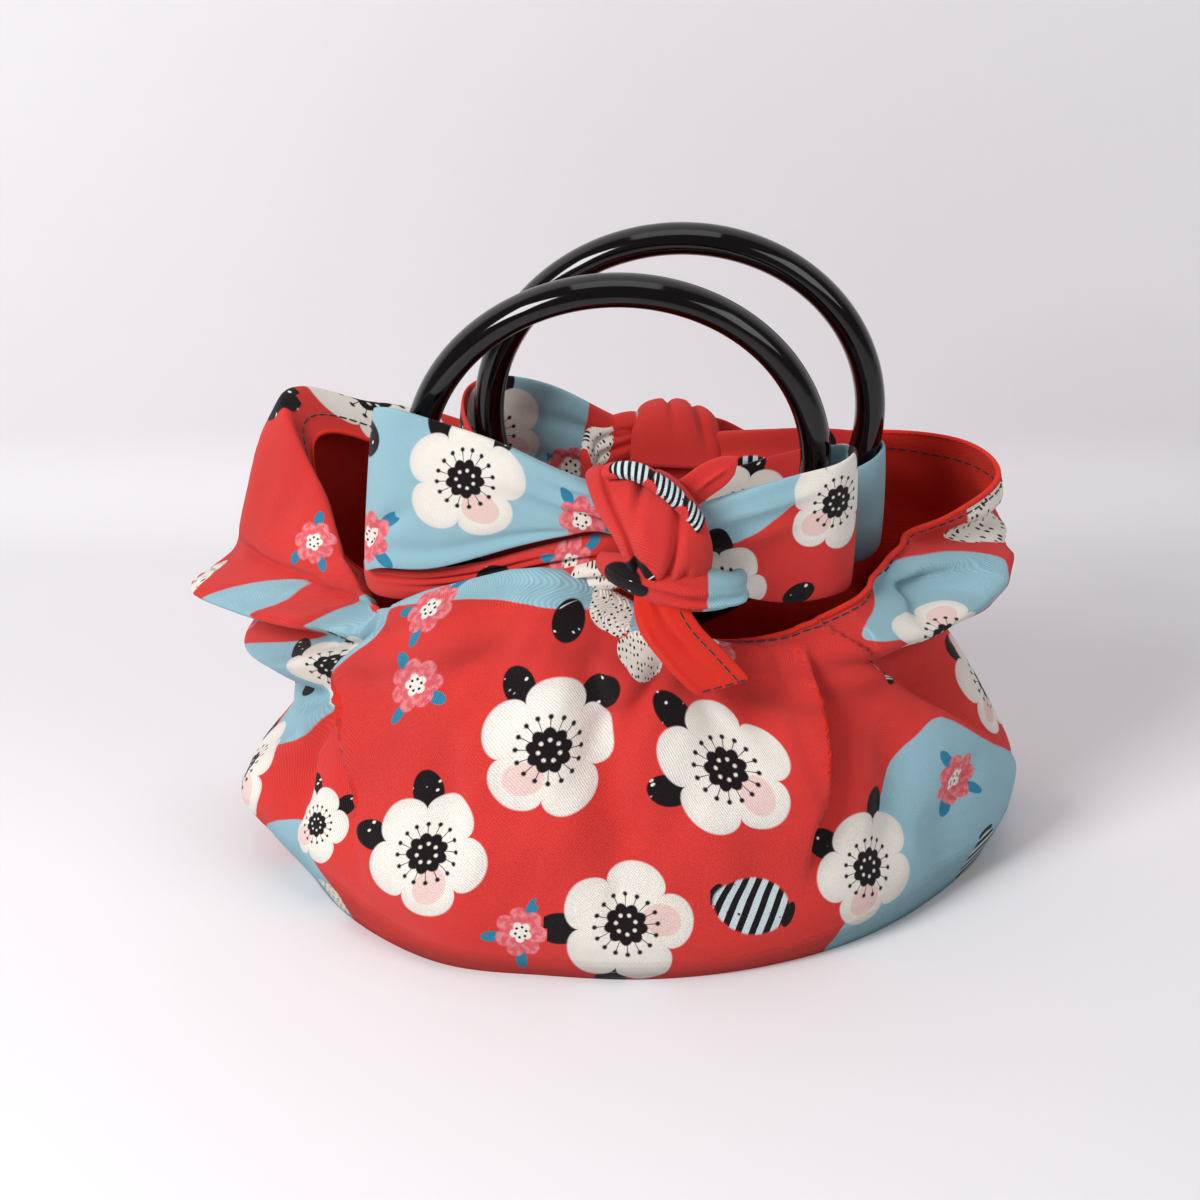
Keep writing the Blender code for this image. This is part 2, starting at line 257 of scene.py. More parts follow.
def motifSpot(tree):
    # where a point lies in its own motif: its coordinates, distance and direction from the middle,
    # the motif's kind, and 1 inside the round dots that some inks have
    place = addNode(tree, "ShaderNodeUVMap", uv_map="motifMap")
    x, y, _ = addNode(tree, "ShaderNodeSeparateXYZ", place).outputs
    # the round dots lie on the cloth itself, about 4 mm apart
    cloth = addNode(tree, "ShaderNodeUVMap", uv_map="clothMap")
    cells = addNode(tree, "ShaderNodeTexVoronoi", {"Vector": cloth, "Scale": 260.0, "Randomness": 0.75})
    return {"place": place, "x": x, "y": y,
            "radius": addNode(tree, "ShaderNodeVectorMath", place, operation="LENGTH").outputs["Value"],
            "angle": addNode(tree, "ShaderNodeMath", y, x, operation="ARCTAN2"),
            "kind": addNode(tree, "ShaderNodeAttribute", attribute_name="motifKind").outputs["Fac"],
            "polka": insideOf(tree, cells.outputs["Distance"], 0.17, 0.04)}


def mixInks(tree, mask, over, under):
    # one ink over another where the mask is 1
    return addNode(tree, "ShaderNodeMixRGB", mask, under, over)


def ellipseInside(tree, spot, centre, radii, turn=0.0):
    # 1 inside an ellipse of the motif's own coordinates
    cosine, sine = np.cos(np.radians(turn)), np.sin(np.radians(turn))
    mapped = []
    for a, b, radius in ((cosine, sine, radii[0]), (-sine, cosine, radii[1])):
        shifted = -(centre[0] * a + centre[1] * b) / radius
        part = addNode(tree, "ShaderNodeMath", spot["x"], a / radius, shifted, operation="MULTIPLY_ADD")
        part = addNode(tree, "ShaderNodeMath", spot["y"], b / radius, part, operation="MULTIPLY_ADD")
        mapped.append(part)
    both = addNode(tree, "ShaderNodeCombineXYZ", *mapped)
    length = addNode(tree, "ShaderNodeVectorMath", both, operation="LENGTH")
    return insideOf(tree, length.outputs["Value"], 1.0, 0.04)


def petalEdge(tree, spot, petals, inner, outer, power):
    # a rosette's edge: inner + (outer - inner) * |cos(petals / 2 * angle)| ** power
    wave = addNode(tree, "ShaderNodeMath", spot["angle"], petals / 2, operation="MULTIPLY")
    wave = addNode(tree, "ShaderNodeMath", wave, operation="COSINE")
    wave = addNode(tree, "ShaderNodeMath", wave, operation="ABSOLUTE")
    wave = addNode(tree, "ShaderNodeMath", wave, power, operation="POWER")
    return addNode(tree, "ShaderNodeMath", wave, outer - inner, inner, operation="MULTIPLY_ADD")


def dotRing(tree, spot, count, ring, size):
    # 1 inside count round dots on a ring, and the distance across from the nearest dot's spoke
    turn = addNode(tree, "ShaderNodeMath", spot["angle"], count / (2 * np.pi), operation="MULTIPLY")
    turn = addNode(tree, "ShaderNodeMath", turn, operation="FRACT")
    across = addNode(tree, "ShaderNodeMath", turn, 0.5, operation="SUBTRACT")
    across = addNode(tree, "ShaderNodeMath", across, 2 * np.pi * ring / count, operation="MULTIPLY")
    away = addNode(tree, "ShaderNodeMath", spot["radius"], ring, operation="SUBTRACT")
    both = addNode(tree, "ShaderNodeCombineXYZ", across, away)
    length = addNode(tree, "ShaderNodeVectorMath", both, operation="LENGTH")
    return insideOf(tree, length.outputs["Value"], size, 0.012), across


# Sizes are in the motif's radius: leaves have middle, half axes and turn; rosettes have petals,
# inner and outer edge and power; dots have their count, ring and size.
anemoneShape = {"leaves": (((0.80, 0.56), (0.36, 0.25), 38), ((-0.28, 0.94), (0.31, 0.23), 100)),
                "petals": (5, 0.70, 1.0, 0.55), "blush": ((-0.42, -0.34), (0.30, 0.24)),
                "heart": (9, 0.27, 0.33, 1.0), "anthers": (16, 0.47, 0.036), "filament": 0.008,
                "seeds": (7, 0.15, 0.028)}


def anemone(tree, spot, ink):
    # cream petals round a black heart, with two dotted leaves behind
    dotted = mixInks(tree, spot["polka"], ink["cream"], ink["black"])
    layers = [(ellipseInside(tree, spot, *leaf), dotted) for leaf in anemoneShape["leaves"]]
    edge = petalEdge(tree, spot, *anemoneShape["petals"])
    notch = addNode(tree, "ShaderNodeMath", spot["radius"], edge, operation="DIVIDE")
    shade = addNode(tree, "ShaderNodeMapRange", notch, 0.80, 1.02, 0.0, 0.30)
    blush = addNode(tree, "ShaderNodeMath", ellipseInside(tree, spot, *anemoneShape["blush"]), 0.35,
                    operation="MULTIPLY")
    cream = mixInks(tree, blush, ink["pink"], mixInks(tree, shade, ink["grey"], ink["cream"]))
    anthers, spoke = dotRing(tree, spot, *anemoneShape["anthers"])
    across = addNode(tree, "ShaderNodeMath", spoke, operation="ABSOLUTE")
    thin = insideOf(tree, across, anemoneShape["filament"], 0.006)
    inside = addNode(tree, "ShaderNodeMath", spot["radius"], anemoneShape["anthers"][1],
                     operation="LESS_THAN")
    return layers + [
        (insideOf(tree, spot["radius"], edge, 0.015), cream),
        (insideOf(tree, spot["radius"], petalEdge(tree, spot, *anemoneShape["heart"]), 0.012),
         ink["black"]),
        (anthers, ink["black"]),
        (addNode(tree, "ShaderNodeMath", thin, inside, operation="MULTIPLY"), ink["black"]),
        (dotRing(tree, spot, *anemoneShape["seeds"])[0], ink["cream"])]


camelliaShape = {"leaves": (((0.95, 0.35), (0.42, 0.20), 20), ((-0.75, -0.72), (0.42, 0.20), 45),
                            ((-0.85, 0.62), (0.42, 0.20), 140)),
                 "petals": (7, 0.72, 0.95, 0.7), "heart": (5, 0.26, 0.40, 0.8), "stamens": (6, 0.20, 0.05)}


def camellia(tree, spot, ink):
    # rose petals with lighter streaks, a dotted cream heart and small blue leaves
    layers = [(ellipseInside(tree, spot, *leaf), ink["leaf"]) for leaf in camelliaShape["leaves"]]
    streaks = addNode(tree, "ShaderNodeTexNoise", {"Vector": spot["place"], "Scale": 4.0, "Detail": 4.0})
    streak = addNode(tree, "ShaderNodeMapRange", streaks, 0.46, 0.58, 0.0, 1.0)
    petals, heart = (insideOf(tree, spot["radius"], petalEdge(tree, spot, *camelliaShape[part]), 0.03)
                     for part in ("petals", "heart"))
    return layers + [(petals, mixInks(tree, streak, ink["pink"], ink["rose"])), (heart, ink["cream"]),
                     (dotRing(tree, spot, *camelliaShape["stamens"])[0], ink["black"])]


lanternShape = {"caps": (((0, -0.92), (0.30, 0.13)), ((0, 0.92), (0.30, 0.13))),
                "paper": ((0, 0), (0.66, 0.90)), "bands": 20.0}


def lantern(tree, spot, ink):
    # black bands between pale ones with black dots, and two black caps
    layers = [(ellipseInside(tree, spot, *cap), ink["black"]) for cap in lanternShape["caps"]]
    bands = addNode(tree, "ShaderNodeMath", spot["y"], lanternShape["bands"], operation="MULTIPLY")
    bands = addNode(tree, "ShaderNodeMath", bands, operation="SINE")
    dark = addNode(tree, "ShaderNodeMapRange", bands, -0.1, 0.1, 0.0, 1.0)
    dotted = mixInks(tree, spot["polka"], ink["black"], ink["mist"])
    return layers + [(ellipseInside(tree, spot, *lanternShape["paper"]),
                      mixInks(tree, dark, ink["black"], dotted))]


strokedPatchShape = {"edge": (4, 0.85, 1.0, 1.0), "strokes": 6.5, "squeeze": (1.0, 0.55, 1.0)}


def strokedPatch(tree, spot, ink):
    # a round cream patch with rows of short black strokes: round cells squeezed one way
    squeezed = addNode(tree, "ShaderNodeVectorMath", spot["place"], strokedPatchShape["squeeze"],
                       operation="MULTIPLY")
    cells = addNode(tree, "ShaderNodeTexVoronoi", {"Vector": squeezed, "Randomness": 0.35,
                                                   "Scale": strokedPatchShape["strokes"]})
    stroke = insideOf(tree, cells.outputs["Distance"], 0.26, 0.05)
    edge = petalEdge(tree, spot, *strokedPatchShape["edge"])
    return [(insideOf(tree, spot["radius"], edge, 0.02), mixInks(tree, stroke, ink["black"], ink["cream"]))]


blackLeafShape = ((0, 0), (1.0, 0.72))


def blackLeaf(tree, spot, ink):
    # a plain oval leaf, black with cream dots
    return [(ellipseInside(tree, spot, *blackLeafShape),
             mixInks(tree, spot["polka"], ink["cream"], ink["black"]))]


def printedCotton():
    # cotton twill with a pigment print on red and blue ground; matt, with a short nap that catches
    # light at grazing angles
    material, tree, shader = newMaterial("printedCottonTwill", Roughness=0.82, Sheen_Weight=0.08,
                                         Sheen_Roughness=0.5, Specular_IOR_Level=0.12)
    ink = {name: linearColour(value) for name, value in printColours.items()}
    spot = motifSpot(tree)
    ground = addNode(tree, "ShaderNodeAttribute", attribute_name="blueGround").outputs["Fac"]
    isBlue = addNode(tree, "ShaderNodeMapRange", ground, -0.25, 0.25, 0.0, 1.0)
    look = mixInks(tree, isBlue, ink["blue"], ink["red"])
    for number, motif in enumerate((anemone, camellia, lantern, strokedPatch, blackLeaf), start=1):
        here = addNode(tree, "ShaderNodeMath", spot["kind"], float(number), 0.1, operation="COMPARE")
        for mask, layer in motif(tree, spot, ink):
            shown = addNode(tree, "ShaderNodeMath", here, mask, operation="MULTIPLY")
            look = mixInks(tree, shown, layer, look)
    addWeave(tree, shader, look)
    return material


def plainRedCotton():
    # plain-dyed cotton of the same weave, a shade warmer than the print's red, and matt
    material, tree, shader = newMaterial("plainRedCotton", Roughness=0.8, Sheen_Weight=0.06,
                                         Sheen_Roughness=0.5, Specular_IOR_Level=0.12)
    base = addNode(tree, "ShaderNodeRGB")
    base.outputs[0].default_value = linearColour("#E83222")
    addWeave(tree, shader, base)
    return material


def blackGlossPlastic():
    # injection-moulded acrylic, polished: near black, a mirror-like skin with faint handling marks
    material, tree, shader = newMaterial("blackGlossAcrylic", Roughness=0.10, IOR=1.45)
    shader.inputs["Base Color"].default_value = linearColour("#080405")
    # marks about 17 mm across change the gloss, and ripples of about 29 mm bend the reflections
    place = addNode(tree, "ShaderNodeTexCoord").outputs["Object"]
    marks, ripples = (
        addNode(tree, "ShaderNodeTexNoise", {"Vector": place, "Scale": scale, "Detail": detail})
        for scale, detail in ((60.0, 4.0), (35.0, 2.0)))
    rough = addNode(tree, "ShaderNodeMapRange", marks, 0.35, 0.75, 0.06, 0.13)
    tree.links.new(rough.outputs[0], shader.inputs["Roughness"])
    bump = addNode(tree, "ShaderNodeBump", {"Height": ripples, "Strength": 0.08, "Distance": 0.3 * mm})
    tree.links.new(bump.outputs[0], shader.inputs["Normal"])
    return material


def blackThread():
    # spun polyester sewing thread: soft black with a slight sheen; it twists about every 0.35 mm
    material, tree, shader = newMaterial("blackSewingThread", Roughness=0.6, Sheen_Weight=0.3)
    place = addNode(tree, "ShaderNodeTexCoord")
    twist = addNode(tree, "ShaderNodeTexWave", {"Vector": place.outputs["Object"], "Scale": 900.0})
    bump = addNode(tree, "ShaderNodeBump", {"Height": twist, "Strength": 0.4, "Distance": 0.08 * mm})
    tree.links.new(bump.outputs[0], shader.inputs["Normal"])
    shader.inputs["Base Color"].default_value = linearColour("#0C0809")
    return material


finish = {"printed": printedCotton(), "lining": plainRedCotton(), "ring": blackGlossPlastic(),
          "thread": blackThread()}
print("materials made")


# Each section is a compass direction, in degrees from +X towards +Y, the distance from the floor's
# middle at which the cloth leaves the floor (foot), and then the distances and heights at which it
# bulges, draws in (waist, tuck), rounds its shoulder and lip, and ends (hem).
bodyShape = {
    "floorMiddle": (12.0, 0.0),
    "columns": 400,
    "floorParts": (0.02, 0.2, 0.4, 0.6, 0.78, 0.90, 0.96),
    "rowsInSpan": (9, 19, 21, 24, 18, 18),
    "sections": (
        (0,   136, 144, 22, 137, 52, 116, 88,  132, 108, 118, 127, 108, 134),
        (12,  146, 149, 16, 142, 46, 123, 86,  143, 110, 142, 130, 139, 142),
        (22,  144, 148, 18, 139, 50, 122, 88,  138, 112, 135, 134, 131, 148),
        (40,  122, 130, 22, 120, 58, 104, 96,  100, 120, 89,  139, 80,  148),
        (62,  102, 108, 20, 98,  62, 86,  98,  78,  118, 73,  130, 69,  135),
        (90,  92,  97,  16, 88,  62, 76,  92,  68,  106, 62,  115, 56,  115),
        (118, 98,  104, 18, 96,  64, 86,  100, 79,  120, 73,  137, 64,  124),
        (138, 112, 119, 22, 116, 64, 106, 100, 98,  128, 87,  152, 77,  136),
        (152, 122, 131, 24, 126, 62, 126, 92,  124, 126, 110, 162, 98,  145),
        (165, 128, 142, 24, 129, 58, 138, 86,  150, 121, 135, 172, 121, 156),
        (175, 128, 146, 25, 128, 55, 137, 80,  147, 113, 115, 142, 111, 124),
        (186, 124, 141, 26, 124, 54, 127, 79,  124, 107, 106, 127, 106, 109),
        (198, 119, 129, 24, 118, 54, 112, 84,  106, 106, 99,  118, 95,  102),
        (215, 112, 116, 18, 104, 60, 96,  98,  90,  121, 82,  134, 72,  125),
        (230, 106, 109, 14, 96,  64, 82,  106, 73,  131, 66,  143, 57,  134),
        (250, 94,  96,  12, 86,  64, 72,  108, 62,  131, 54,  140, 46,  131),
        (272, 91,  93,  12, 82,  62, 67,  100, 57,  120, 50,  128, 43,  120),
        (296, 94,  97,  12, 86,  58, 70,  92,  62,  108, 55,  116, 48,  112),
        (318, 103, 107, 16, 98,  58, 86,  86,  80,  101, 76,  112, 71,  117),
        (340, 117, 122, 20, 113, 58, 98,  86,  104, 103, 98,  117, 92,  126)),
    # Folds: shape, and rows of compass degrees, height, half width and push out (+) or in (-).
    # A step pushes out on its line's left as the rows run, seen from outside, and in on its right.
    "folds": (
        # the sharp fold down the front's right side
        ("step", ((308, 28, 3, 0), (309.5, 42, 2, 2.5), (311, 55, 1.4, 6), (316, 72, 1.3, 8),
                  (318.4, 92, 1.3, 8), (319.5, 106, 2, 4), (320, 116, 3, 1))),
        # the fold down the front's left side
        ("step", ((204, 118, 3, 1), (201.4, 105, 1.6, 6), (199.5, 93, 1.4, 8.5), (203, 75, 1.4, 8),
                  (205, 64, 1.5, 6.5), (209, 41, 2.2, 3.5), (214, 22, 3, 1.5), (216, 12, 4, 0))),
        # left end: the upper roll, the valley under it, the lower roll, the dark tuck below, and the
        # valley over the upper roll
        ("soft", ((200, 112, 4, 1), (194, 109, 4.5, 9), (188, 107, 5, 15), (182, 105.5, 5.5, 20),
                  (177, 105, 6, 21), (171, 105, 6, 12), (165, 106, 6, 0))),
        ("sharp", ((200, 107, 2, -2), (194, 101, 2.5, -9), (186, 97, 3, -11), (178, 94, 3.5, -11),
                   (166, 94, 4, -6), (158, 95, 5, 0))),
        ("soft", ((199, 107, 4, 3), (193, 94, 5, 6), (186, 86, 5.5, 9), (178, 83, 6, 10), (168, 84, 6, 5),
                  (160, 86, 6, 0))),
        ("soft", ((196, 84, 4, -2), (190, 76, 5, -9), (184, 72, 5, -11), (176, 70, 6, -9),
                  (166, 72, 6, 0))),
        ("sharp", ((197, 116, 2, -2), (190, 115.5, 3, -8), (183, 115.5, 3.5, -11), (176, 116, 3.5, -10),
                   (168, 117, 3.5, 0))),
        # the bulge below, and the sharp valley that parts it from the front
        ("soft", ((197, 90, 6, 2), (191, 64, 8, 5), (186, 45, 10, 6), (184, 30, 11, 5), (186, 16, 10, 0))),
        ("sharp", ((198, 90, 3, -3), (194, 68, 4, -8), (191, 54, 4.5, -10), (193, 38, 5, -8),
                   (196, 22, 5, -3), (198, 12, 5, 0))),
        # right end: the long roll to the ear, the valley under it and two dents in its face
        ("soft", ((322, 112, 6, 0), (332, 110, 6, 5), (343, 109, 6, 8), (350, 111, 6, 9), (358, 113, 7, 9),
                  (366, 118, 7, 6), (374, 124, 8, 0))),
        ("sharp", ((326, 104, 3, 0), (335, 101, 4, -7), (344, 98, 4.5, -12), (354, 98, 5, -15),
                   (362, 101, 5, -12), (372, 107, 6, -5), (380, 110, 7, 0))),
        ("soft", ((340, 125, 3, 0), (350, 128, 3.2, -7), (361, 128, 3.2, -9), (371, 127, 4, -7),
                  (380, 130, 5, 0))),
        ("soft", ((341, 110, 3, 0), (347, 116, 3, -6), (353, 121, 3, -8), (360, 117, 3.5, -3),
                  (366, 114, 4, 0))),
        # the crease that runs down to the right corner, and the hollows on both sides of it
        ("step", ((366, 26, 4, 0), (359, 43, 2.5, 4.5), (352, 62, 2.2, 7), (346, 76, 2, 7), (340, 89, 2, 6),
                  (334, 102, 2.5, 2))),
        ("soft", ((332, 80, 7, 0), (333, 62, 8, -5), (329, 40, 8, -4), (326, 22, 8, 0))),
        ("soft", ((346, 34, 7, 0), (341, 24, 8, -4), (336, 12, 8, 0))),
        # shallow dents in the front
        ("soft", ((252, 118, 7, 0), (257, 103, 7, -6), (260, 82, 9, -8), (265, 60, 9, -6),
                  (268, 40, 9, 0))),
        ("soft", ((268, 96, 3, 0), (262, 92, 3.5, -2.2), (259, 84, 4, 0))),
        ("soft", ((267, 42, 4, 0), (266, 32, 4, -2.5), (266, 20, 5, -1), (266, 12, 5, 0))),
        ("soft", ((284, 64, 8, 0), (290, 48, 9, 3), (296, 30, 9, 0))),
        ("soft", ((222, 96, 7, 0), (226, 66, 8, -5), (229, 36, 7, -3), (231, 14, 7, 0))),
        ("soft", ((286, 114, 5, 0), (291, 98, 6, -5), (300, 78, 8, -2), (304, 66, 8, 0))),
        ("soft", ((284, 116, 4, 0), (277, 106, 4, -3), (269, 94, 5, -3.5), (262, 80, 6, 0))),
        ("soft", ((298, 112, 4, 0), (303, 98, 4, -4.5), (307, 82, 5, -3), (308, 66, 6, 0))),
        ("soft", ((236, 126, 5, 0), (230, 114, 5, -2.5), (222, 104, 6, -3), (215, 92, 7, 0))),
        # dents that run down the right end's face
        ("soft", ((336, 120, 4, 0), (344, 124, 3.5, -6), (352, 118, 4, -7), (360, 108, 4, 0))),
        ("soft", ((350, 138, 4, 0), (358, 133, 3.5, -6), (366, 124, 4, -6), (372, 114, 4, 0))),
        ("soft", ((350, 56, 5, 0), (346, 46, 5, -4), (340, 34, 6, -3), (336, 22, 6, 0))),
        # the back: three hanging folds, a step towards each end and the tuck under each ear
        ("soft", ((70, 108, 7, 0), (66, 84, 9, -6), (64, 50, 10, -5), (62, 20, 8, 0))),
        ("soft", ((112, 112, 7, 0), (114, 86, 9, -6), (117, 52, 10, -5), (120, 20, 8, 0))),
        ("soft", ((90, 84, 12, 0), (91, 56, 14, 4), (92, 26, 12, 0))),
        ("step", ((140, 40, 4, 0), (136, 66, 3, 5), (130, 90, 3, 5), (124, 112, 4, 2))),
        ("step", ((44, 104, 4, 2), (40, 84, 3, 5), (36, 60, 3, 4), (34, 36, 4, 0))),
        ("soft", ((30, 96, 6, 0), (22, 88, 7, -7), (12, 86, 7, -6), (2, 84, 7, 0))),
        ("soft", ((150, 112, 5, 0), (146, 100, 6, -6), (140, 90, 6, 0)))),
    # Gentle wrinkles: wavelength and height in mm, and the way they run. They are counted at a
    # distance from the middle, start and are full at two heights, and fade over the rows by the hem.
    "wrinkles": ((70, 0.8, 20), (43, 0.5, 110), (29, 0.3, 65), (17, 0.14, 150)),
    "wrinkleReach": 110, "wrinkleHeights": (6, 36), "wrinkleFadeRows": 26,
    # Cloth, the gap between its layers, and the hem: its roll, how proud and how far in it is tucked.
    "clothThickness": 0.5, "layerGap": 0.3, "hemRoll": 0.6, "hemProud": 0.3, "hemTuck": 1.0,
    # Print: motif, compass, height (under 0: mm in from the floor's edge), radius and turn.
    "motifs": (
        (1, 248, 85, 26, 15), (1, 225, 42, 24, 70), (1, 268, 22, 24, 150), (1, 294, 74, 25, 95),
        (1, 322, 30, 22, 30), (1, 345, 105, 20, 200), (1, 194, 94, 19, 60), (1, 180, 34, 22, 130),
        (1, 153, 168, 27, 90), (1, 8, 60, 24, 10), (1, 34, 106, 23, 60), (1, 56, 46, 25, 110),
        (1, 86, 88, 25, 20), (1, 112, 36, 25, 75), (1, 136, 92, 22, 140), (1, 158, 50, 22, 0),
        (1, 200, 34, 15, 20), (2, 246, 18, 10, 50), (2, 30, 8, 11, 140), (2, 216, 128, 10, 30),
        (2, 81, 8, 10, 140), (2, 345, 48, 11, 100), (2, 30, 48, 10, 10), (2, 171, 84, 11, 40),
        (2, 181, 130, 9, 120), (2, 165, 8, 10, 20), (2, 84, 40, 11, 70), (2, 297, 116, 10, 70),
        (2, 216, 100, 11, 100), (2, 3, 16, 10, 30), (2, 57, 92, 10, 170),
        (3, 296, 26, 16, 65), (3, 351, 8, 15, 10), (3, 156, 100, 15, 0), (3, 135, 48, 15, 20),
        (4, 272, 114, 9, 0), (4, 8, 132, 17, 20), (4, 175, 105, 13, 40), (4, 203, 6, 8, 50),
        (4, 108, 128, 11, 130), (4, 21, 112, 11, 90), (4, 262, 129, 9, 130),
        (5, 165, 172, 10, 90), (5, 141, 8, 8, 30), (5, 12, 8, 8, 150), (5, 60, 128, 8, 70),
        (5, 249, 128, 8, 80), (5, 42, 8, 8, 0), (5, 180, 72, 8, 80), (5, 21, 28, 8, 70),
        (5, 153, 8, 8, 130), (1, 250, -50, 22, 0), (1, 322, -56, 22, 70), (1, 20, -60, 22, 20),
        (1, 90, -54, 22, 0), (1, 160, -58, 22, 40)),
    # Blue ground: outlines of compass and height, read at a distance from the middle in mm.
    "blueReach": 100.0,
    "blue": (
        ((344, 73), (338, 69), (333, 60), (330, 50), (324, 37), (317, 16), (313, 0), (309, -60), (378, -60),
         (376, 16), (370, 27), (362, 38), (352, 54)),
        ((196, 116), (208, 125), (219, 131.6), (235, 132.6), (250, 131), (259, 128.6), (271, 119.5),
         (279, 121), (280, 170), (196, 170)),
        ((332, 112), (345, 108), (352, 109), (358, 110), (363, 118), (359, 126), (350, 128), (343, 124),
         (336, 118)),
        ((177, 82), (186, 95), (192, 106), (193, 118), (198, 124), (204, 126), (206, 114), (203, 103),
         (196, 79), (188, 56), (176, 41), (168, 52), (178, 70)),
        ((194, 30), (202, 20), (207, 5), (204, -16), (190, -20), (186, 10)),
        ((181, 99), (180, 113), (184.5, 114), (186, 101)),
        ((60, -90), (96, -90), (112, 20), (122, 90), (128, 160), (96, 160), (84, 90), (68, 20)),
        ((20, 70), (36, 60), (58, 110), (62, 170), (30, 170), (22, 120)),
        ((140, 20), (160, 10), (170, 30), (158, 70), (146, 80))),
}


def sectionsAt(compass, sections):
    # the sections' columns at each compass direction, by a periodic cubic through the table's rows
    rows = np.array(sections, float)
    turns = np.concatenate([rows[:, 0] - 360, rows[:, 0], rows[:, 0] + 360])
    values = np.tile(rows[:, 1:], (3, 1))
    after = np.searchsorted(turns, compass, side="right")
    before = after - 1
    step = (turns[after] - turns[before])[:, None]
    part = (compass - turns[before])[:, None] / step
    slope = (values[2:] - values[:-2]) / (turns[2:] - turns[:-2])[:, None]
    start, end = slope[before - 1] * step, slope[after - 1] * step
    cubed, squared = part ** 3, part ** 2
    return ((2 * cubed - 3 * squared + 1) * values[before] + (cubed - 2 * squared + part) * start
            + (3 * squared - 2 * cubed) * values[after] + (cubed - squared) * end)


# A fold's line is read in so many stretches from row to row, and at least so far from the middle, in
# mm. Folds are full from a height up. A sharp fold's peak is rounded a little. A step dies away over
# some of its widths, and its sides slide by a share of its push.
foldForm = {"stretches": 4, "leastReach": 60.0, "fullFrom": 3.0, "peakRound": 0.05, "peakRise": 0.22,
            "stepWidths": 9, "slide": 0.35}


def nearestOnFold(rows, compass, height, reach):
    # mm from each point to the fold's line, measured at the point's own reach, then what the fold is
    # at the nearest place: its width, push and way, and how far to its left (+) the point lies
    parts = np.linspace(0, len(rows) - 1, foldForm["stretches"] * (len(rows) - 1) + 1)
    line = smoothThrough(rows, parts)
    best, nearest = np.full_like(reach, np.inf), np.zeros(reach.shape + (5,))
    for start, end in zip(line[:-1], line[1:]):
        across = np.radians((compass - start[0] + 180) % 360 - 180)[:, None] * reach
        up = height - start[1]
        wide, tall = np.radians(end[0] - start[0]) * reach, np.full_like(reach, end[1] - start[1])
        part = np.clip((across * wide + up * tall) / (wide ** 2 + tall ** 2), 0, 1)
        offX, offY = across - part * wide, up - part * tall
        size = start[2:] + (end[2:] - start[2:]) * part[..., None]
        way = unit(np.stack([wide, tall], -1))
        found = np.concatenate([size, way, (offY * wide - offX * tall)[..., None]], -1)
        away = np.hypot(offX, offY)
        nearest = np.where((away < best)[..., None], found, nearest)
        best = np.minimum(best, away)
    return best, np.moveaxis(nearest, -1, 0)


def foldMoves(folds, compass, distance, height):
    # how far the folds move each point out, round the bag and up: soft is a bell across the fold's
    # line and sharp a peak; step rises on one side of the line and sinks on the other, both dying
    # away, and slides the two sides towards the line, so that the cloth laps over itself
    reach = np.maximum(distance, foldForm["leastReach"])
    out, around, lift = (np.zeros_like(distance) for _ in range(3))
    for kind, rows in folds:
        best, (width, push, wayX, wayY, toLeft) = nearestOnFold(rows, compass, height, reach)
        push = push * np.clip(height / foldForm["fullFrom"], 0, 1)
        if kind == "soft":
            out += push * np.exp(-(best / width) ** 2)
        elif kind == "sharp":
            peak = np.sqrt((best / width) ** 2 + foldForm["peakRound"])
            out += push * np.exp(foldForm["peakRise"] - peak)
        else:
            fade = np.exp(-(best / (foldForm["stepWidths"] * width)) ** 2)
            step = push * np.sign(toLeft) * np.tanh(best / width) * fade
            out += step
            around += foldForm["slide"] * step * wayY
            lift -= foldForm["slide"] * step * wayX
    return out, around / reach, lift


def bodyProfile(shape, compass):
    # each column's rows as distance from the floor's middle and height: parts of the way out over the
    # floor, then a smooth curve through its section's stations
    table = sectionsAt(compass, shape["sections"])
    foot = table[:, 0]
    stations = np.stack([np.stack([foot, np.zeros_like(foot)], -1)]
                        + [table[:, k:k + 2] for k in range(1, 13, 2)])
    spans = [np.arange(1, n + 1) / n + k for k, n in enumerate(shape["rowsInSpan"])]
    wall = smoothThrough(stations, np.concatenate([[0.0], *spans])).swapaxes(0, 1)
    floor = foot[:, None] * np.array(shape["floorParts"])
    return np.concatenate([np.stack([floor, np.zeros_like(floor)], -1), wall], axis=1)


def wrinkled(shape, grid, angle):
    # the grid pushed along its normals by slanting sine waves, less near the floor and the hem
    v = runningLengths(grid, True)[1][:-1]
    wrinkle = np.zeros(grid.shape[:2])
    for k, (wave, size, way) in enumerate(shape["wrinkles"]):
        # the count round the bag is whole, so that the wrinkles close on themselves, and each wanders
        count = round(2 * np.pi * shape["wrinkleReach"] / wave * np.cos(np.radians(way)))
        phase = count * angle + 2 * np.pi * v / wave * np.sin(np.radians(way))
        wrinkle += size * np.sin(phase + 2.0 * np.sin(3 * angle + k) + 1.7 * k)
    lowest, full = shape["wrinkleHeights"]
    lifted = np.clip((grid[..., 2] - lowest) / (full - lowest), 0, 1)
    lifted[:, -shape["wrinkleFadeRows"]:] *= np.linspace(1, 0, shape["wrinkleFadeRows"])
    return grid + gridNormals(grid, True) * (wrinkle * lifted)[..., None]


